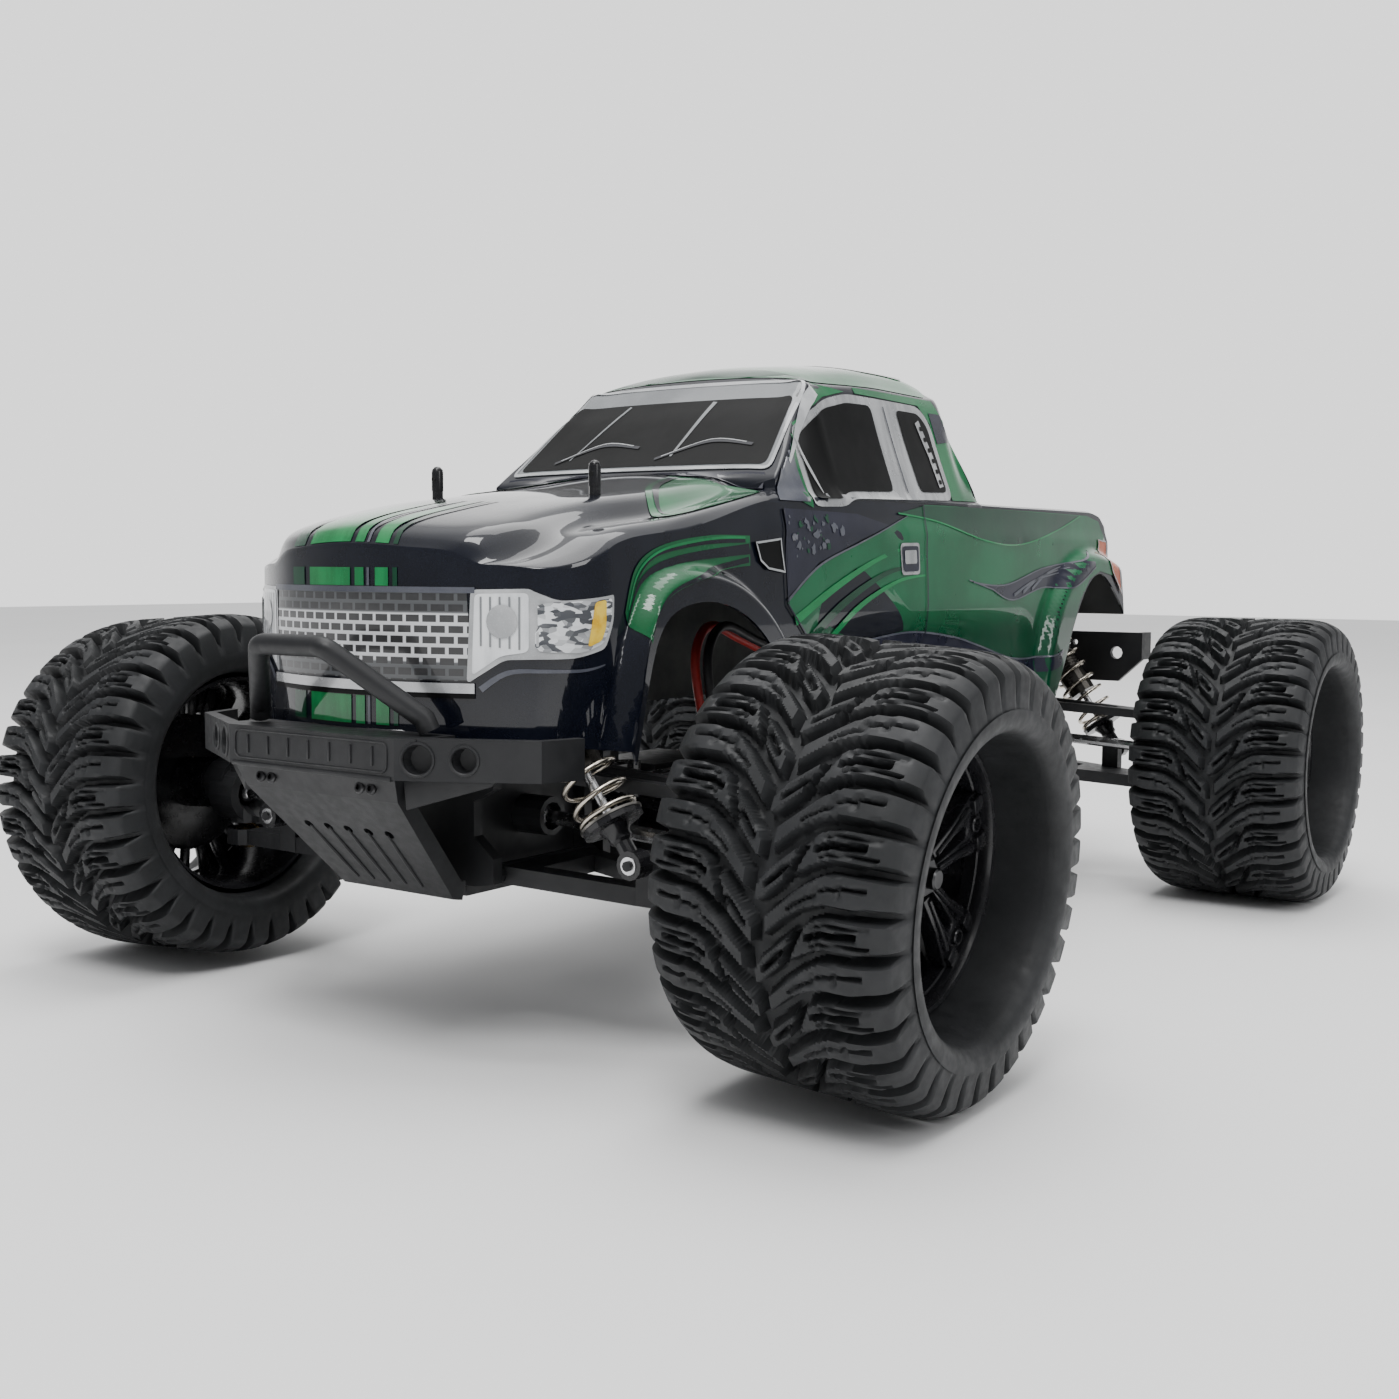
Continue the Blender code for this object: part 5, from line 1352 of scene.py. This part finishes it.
def dress_chassis():
    for node in ("chassis_plate", "front_gearbox", "rear_gearbox", "front_shock_tower", "rear_shock_tower",
                 "front_bumper", "rear_bumper"):
        dress(node, NYLON)
    for node in ("front_body_mount", "rear_body_mount", "steering_bellcrank", "steering_link", "left_tie_rod",
                 "right_tie_rod"):
        dress(node, GLOSS, 0.3 * MM)
    dress("bull_bar", NYLON, 0)
    dress("speed_controller", CASE)
    dress("steering_servo", CASE)
    dress("battery_pack", WRAP, 1.2 * MM)
    dress("motor", PEWTER, 0.4 * MM)
    dress("centre_shaft", STEEL, 0)
    for name, _, end in CORNERS:
        dress(name + "_lower_arm", NYLON)
        dress(name + "_upper_arm", NYLON, 0.35 * MM)
        dress(name + "_drive_shaft", STEEL, 0.2 * MM)
        dress(name + "_shock_body", SHOCK, 0.35 * MM)
        dress(name + "_shock_rod", GLOSS, 0.3 * MM)
        if end < 0:
            dress(name + "_knuckle", NYLON, 0.4 * MM)
            dress(name + "_pivot_ball", BRASS, 0)
        else:
            dress(name + "_hub_carrier", NYLON, 0.4 * MM)


dress_chassis()


def coil_height(turn, height):
    """Climb of the wire at a turn, in mm: a closed turn at each end and an even pitch between."""
    if turn < CLOSED_TURNS:
        return CLOSED_RISE * turn / CLOSED_TURNS
    if turn > SPRING_TURNS - CLOSED_TURNS:
        return height - CLOSED_RISE * (SPRING_TURNS - turn) / CLOSED_TURNS
    even_turns = SPRING_TURNS - 2 * CLOSED_TURNS
    return CLOSED_RISE + (height - 2 * CLOSED_RISE) * (turn - CLOSED_TURNS) / even_turns


def springs():
    for name, side, end in CORNERS:
        top, foot = shock_line(side, end)
        axis = (foot - top).normalized()
        length = (foot - top).length
        start, stop = 24.3 * MM, length - 20.9 * MM
        across_ = axis.orthogonal().normalized()
        other = axis.cross(across_)
        points = []
        for k in range(SPRING_STEPS + 1):
            turn = SPRING_TURNS * (k / SPRING_STEPS)
            angle = 2 * math.pi * turn * side
            centre = top + axis * (start + coil_height(turn, (stop - start) / MM) * MM)
            points.append(centre + (across_ * math.cos(angle) + other * math.sin(angle)) * SPRING_RADIUS)
        coil = tube(name + "_spring_look", points, SPRING_WIRE, NICKEL, 10)
        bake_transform(coil)
        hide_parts(name + "_spring")


springs()


# ------------------------------------------------------------------ fine fittings
def fittings(name, body, items):
    piece = join(name, items)
    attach(piece, body)
    return piece


def screw(place, direction, radius=2.6 * MM, height=1.5 * MM):
    start = Vector(place)
    end = start + Vector(direction).normalized() * height
    r = radius
    return turned("screw", start, end, ((r, 0), (r, height * 0.55), (r * 0.82, height * 0.92),
                                        (r * 0.6, height),
                                        (r * 0.46, height), (r * 0.42, height * 0.35),
                                        (r * 0.05, height * 0.3)), SCREW, 16)


BUMPER_FACE_Y = SHIFT - 316.5 * MM
WING_ANGLE = math.atan2(25.3, 47.0)


def bumper_details():
    items = []
    y = BUMPER_FACE_Y
    for k in range(7):
        x = (k - 3) * 11.2 * MM
        items.append(block("tick", (x - 0.5 * MM, y - 0.5 * MM, 115.6 * MM),
                           (x + 0.5 * MM, y + 0.4 * MM, 122.6 * MM),
                           NYLON, 0.2 * MM))
    frame_ = dense(soft_corners(mm([(-41, 113.6), (41, 113.6), (41, 124.2), (-41, 124.2)]), 3 * MM), 3 * MM,
                   True)
    loop = [(x, y - 0.05 * MM, z) for x, z in frame_] + [(frame_[0][0], y - 0.05 * MM, frame_[0][1])]
    items.append(tube("frame_line", loop, 0.45 * MM, NYLON, 6))
    items.append(block("step", (-43 * MM, y - 0.6 * MM, 110.4 * MM), (43 * MM, y + 2 * MM, 112.2 * MM),
                       NYLON, 0.4 * MM))
    for side in (-1, 1):
        place = Matrix.Translation((side * 44.5 * MM, y, 0)) @ Matrix.Rotation(side * WING_ANGLE, 4, "Z")
        parts = []
        for x, radius in ((52, 5.4), (67, 4.6)):
            along = (x - 44.5) / math.cos(WING_ANGLE) * side * MM
            r = radius * MM
            parts.append(turned("ring", (along, 0.3 * MM, 118.6 * MM), (along, -0.8 * MM, 118.6 * MM),
                                ((0.05 * MM, -5 * MM), (r + 0.9 * MM, -5 * MM), (r + 1.1 * MM, 0.3 * MM),
                                 (r + 1.0 * MM, 0.8 * MM), (r + 0.3 * MM, 1.0 * MM), (r - 0.1 * MM, 0.6 * MM),
                                 (r - 0.2 * MM, -4.2 * MM), (0.05 * MM, -4.4 * MM)), NYLON, 32, 40))
        brace = prism("brace", mm([(side * 1.5, 110.8), (side * 36, 110.8), (side * 34, 108.6),
                                   (side * 2.5, 99.5)]), "y",
                      6 * MM, 9.5 * MM, NYLON, 0.5 * MM)
        parts.append(brace)
        for part in parts:
            part.data.transform(place)
        items += parts
        for dz, dx in ((106.5, 24), (106.5, 30)):
            t = (106.5 - 102) / 12.0
            items.append(screw((side * dx * MM, y + 4.0 * MM - 1.4 * MM * t, dz * MM), (0, -1, 0.3),
                               2.4 * MM))
    start = Vector((0, SHIFT - 309.6 * MM, 100.4 * MM))
    end = Vector((0, SHIFT - 272.6 * MM, 60.2 * MM))
    normal = Vector((0, -43.0, -39.7)).normalized()
    for k in range(5):
        x = (k - 2) * 9.4 * MM
        a = start.lerp(end, 0.34) + Vector((x * 1.12, 0, 0)) + normal * 0.1 * MM
        b = start.lerp(end, 0.92) + Vector((x * 0.94, 0, 0)) + normal * 0.1 * MM
        line = [a.lerp(b, j / 6) for j in range(7)]
        items.append(tube("skid_rib", line, lambda t: 0.85 * MM * (0.6 + 0.4 * math.sin(math.pi * t)),
                          NYLON, 8))
    fittings("front_bumper_details", "chassis", items)


bumper_details()


def bars_and_leads():
    left = [(46, -300, 127.6), (44.6, -301.2, 132), (20.5, -321.5, 155), (17, -323.5, 157.4),
            (13.5, -323.5, 158)]
    half = [(a * MM, b * MM + SHIFT, c * MM) for a, b, c in left]
    path = [half[0], tuple((half[0][j] + half[1][j]) / 2 for j in range(3))]
    path += spline([half[1], tuple(half[1][j] * 0.5 + half[2][j] * 0.5 for j in range(3)), half[2], half[3],
                    half[4]], 8)
    full = path + [(-x, y, z) for x, y, z in reversed(path)]
    bar = tube("bull_bar_look", full, 4.0 * MM, NYLON, 28)
    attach(bar, "chassis")
    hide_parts("bull_bar")
    route = [(34, -86, 80), (34, -96, 88), (36, -112, 116), (36, -119, 142), (34, -112, 156), (32, -98, 160),
             (30, -76, 154), (27, -50, 147), (20, -26, 142), (8, -20, 132), (-6, -28, 114), (-14, -38, 100),
             (-16, -44, 93.6)]
    for name, offset, paint in (("battery_lead_red", 0.0, RED), ("battery_lead_black", 5.6, CASE)):
        points = []
        for k, (x, y, z) in enumerate(route):
            drift = 1.2 * offset * k / (len(route) - 1)
            points.append(((x + offset) * MM, (y + drift) * MM + SHIFT, z * MM))
        lead = tube(name + "_look", spline(points, 7), 2.2 * MM, paint, 16)
        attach(lead, "chassis")
        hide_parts(name)


bars_and_leads()


def shock_details():
    for name, side, end in CORNERS:
        top, foot = shock_line(side, end)
        up = (top - foot).normalized()
        parts = [turned("shaft", foot + up * 19 * MM, foot + up * 52 * MM,
                        ((2.0 * MM, 0), (2.0 * MM, 33 * MM)), STEEL, 20),
                 turned("seat_rim", foot + up * 18.9 * MM, foot + up * 21 * MM,
                        ((12.7 * MM, 0), (12.7 * MM, 0.9 * MM), (11.6 * MM, 1.0 * MM), (9.6 * MM, 1.0 * MM),
                         (9.6 * MM, 0)), PEWTER, 40),
                 turned("eye_ball", foot + Vector((0, -4.4 * MM, 0)), foot + Vector((0, 4.4 * MM, 0)),
                        ((3.4 * MM, 0), (3.9 * MM, 2 * MM), (3.9 * MM, 6.8 * MM), (3.4 * MM, 8.8 * MM)),
                        STEEL, 24),
                 turned("collar", foot + up * 9.6 * MM, foot + up * 15 * MM,
                        ((3.6 * MM, 0), (4.6 * MM, 1.0 * MM), (4.6 * MM, 3.0 * MM), (6.6 * MM, 6.8 * MM)),
                        GLOSS, 28)]
        fittings(name + "_shock_rod_details", name + "_shock_rod", parts)
        barrel = axis_frame(top - up * 27 * MM, top - up * 45 * MM)
        helix = []
        for k in range(THREAD_TURNS * THREAD_STEPS + 1):
            a = 2 * math.pi * k / THREAD_STEPS
            helix.append(barrel @ Vector((THREAD_RADIUS * math.cos(a), THREAD_RADIUS * math.sin(a),
                                          THREAD_PITCH * k / THREAD_STEPS)))
        rings = [tube("thread", helix, 0.5 * MM, SHOCK, 6)]
        rings.append(turned("top_cap", top - up * 4.8 * MM, top - up * 15.4 * MM,
                            ((8.0 * MM, 0), (9.9 * MM, 1.2 * MM), (9.9 * MM, 9.4 * MM),
                             (9.0 * MM, 10.6 * MM)), GLOSS, 14, 20))
        fittings(name + "_shock_body_details", name + "_shock", rings)


shock_details()


def post_caps():
    for end, height in POST_HEIGHTS:
        y = axle_y(end) - end * POST_INBOARD
        parts = []
        for x in (-POST_X, POST_X):
            z = (height - 1.2) * MM
            r = 2.55 * MM
            parts.append(turned("post_tip", (x, y, z - 8 * MM), (x, y, z + 3 * MM),
                                ((r, 0), (r, 8 * MM), (r * 0.86, 9.3 * MM), (r * 0.5, 10.3 * MM),
                                 (r * 0.1, 10.6 * MM)),
                                GLOSS, 20, 60))
            # Painted shade: a near-black rod through the post tip stands in for the dark inside of the clip
            # hole.
            parts.append(turned("clip_hole_shade", (x, y - r * 1.02, z - 3 * MM), (x, y + r * 1.02, z - 3 * MM),
                                ((1.1 * MM, 0), (1.1 * MM, 2 * r * 1.02)), HOLE_SHADE, 14))
        fittings(("front" if end < 0 else "rear") + "_post_caps", "chassis", parts)


# Near-black colour for the painted shade inside the clip holes.
HOLE_SHADE = surface("hole_painted_shade_look", (0.002, 0.002, 0.002), (0.004, 0.004, 0.004), 0.7, 0.9,
                      grain_strength=0.02)
post_caps()


# ------------------------------------------------------------------ studio
FLOOR_REACH = 6
CAMERA_PLACE = (0.4582, -0.7080, 0.1869)
CAMERA_YAW = 0.61
CAMERA_PITCH = 0.0814
CAMERA_ROLL = 0.0063
CAMERA_LENS = 41.5


def studio():
    floor_material, tree, shader = start_material("floor_look")
    tree.links.new(mix(tree, noise(tree, 3.0), (0.80, 0.80, 0.80), (0.86, 0.86, 0.86)),
                   shader.inputs["Base Color"])
    shader.inputs["Roughness"].default_value = 0.9
    far = FLOOR_REACH
    floor = make("floor", [(-far, -far, 0), (far, -far, 0), (far, far, 0), (-far, far, 0)], [(0, 1, 2, 3)],
                 floor_material, 0)
    world = bpy.data.worlds.new("studio")
    bpy.context.scene.world = world
    world.use_nodes = True
    tree = world.node_tree
    background = tree.nodes["Background"]
    background.inputs["Strength"].default_value = 1.0
    place = add(tree, "ShaderNodeTexCoord")
    split = add(tree, "ShaderNodeVectorMath", operation="DOT_PRODUCT")
    split.inputs[1].default_value = (-0.57, 0.82, 0.0)
    tree.links.new(place.outputs["Generated"], split.inputs[0])
    share = spread(tree, split.outputs["Value"], 0.42, 0.88, 0.0, 1.0)
    height = add(tree, "ShaderNodeSeparateXYZ")
    tree.links.new(place.outputs["Generated"], height.inputs[0])
    share = calc(tree, "MAXIMUM", share, spread(tree, height.outputs["Z"], 0.5, 0.95, 0.0, 1.0))
    tree.links.new(mix(tree, share, (0.30, 0.305, 0.315), (1.6, 1.6, 1.6)), background.inputs["Color"])
    for name, spot, target, size, power in (
            ("key", (0.5, -1.2, 2.2), (0.0, 0.0, 0.1), (0.9, 0.9), 34.0),
            ("top", (-0.2, 0.4, 2.3), (0.0, 0.0, 0.2), (1.2, 1.8), 26.0),
            ("side", (2.2, -0.3, 1.3), (0.0, 0.0, 0.15), (0.5, 1.2), 12.0)):
        light = bpy.data.lights.new(name, "AREA")
        light.shape = "RECTANGLE"
        light.size, light.size_y = size
        light.energy = power
        lamp = bpy.data.objects.new(name, light)
        lamp.location = spot
        lamp.rotation_euler = (Vector(target) - Vector(spot)).to_track_quat("-Z", "Y").to_euler()
        bpy.context.collection.objects.link(lamp)
    camera_data = bpy.data.cameras.new("photo_view")
    camera_data.lens = CAMERA_LENS
    camera_data.sensor_width = 36.0
    camera = bpy.data.objects.new("photo_view", camera_data)
    camera.location = CAMERA_PLACE
    level = math.cos(CAMERA_PITCH)
    forward = Vector((-math.sin(CAMERA_YAW) * level, math.cos(CAMERA_YAW) * level, -math.sin(CAMERA_PITCH)))
    look = forward.to_track_quat("-Z", "Y").to_matrix().to_4x4()
    camera.rotation_euler = (look @ Matrix.Rotation(CAMERA_ROLL, 4, "Z")).to_euler()
    bpy.context.collection.objects.link(camera)
    bpy.context.scene.camera = camera


studio()
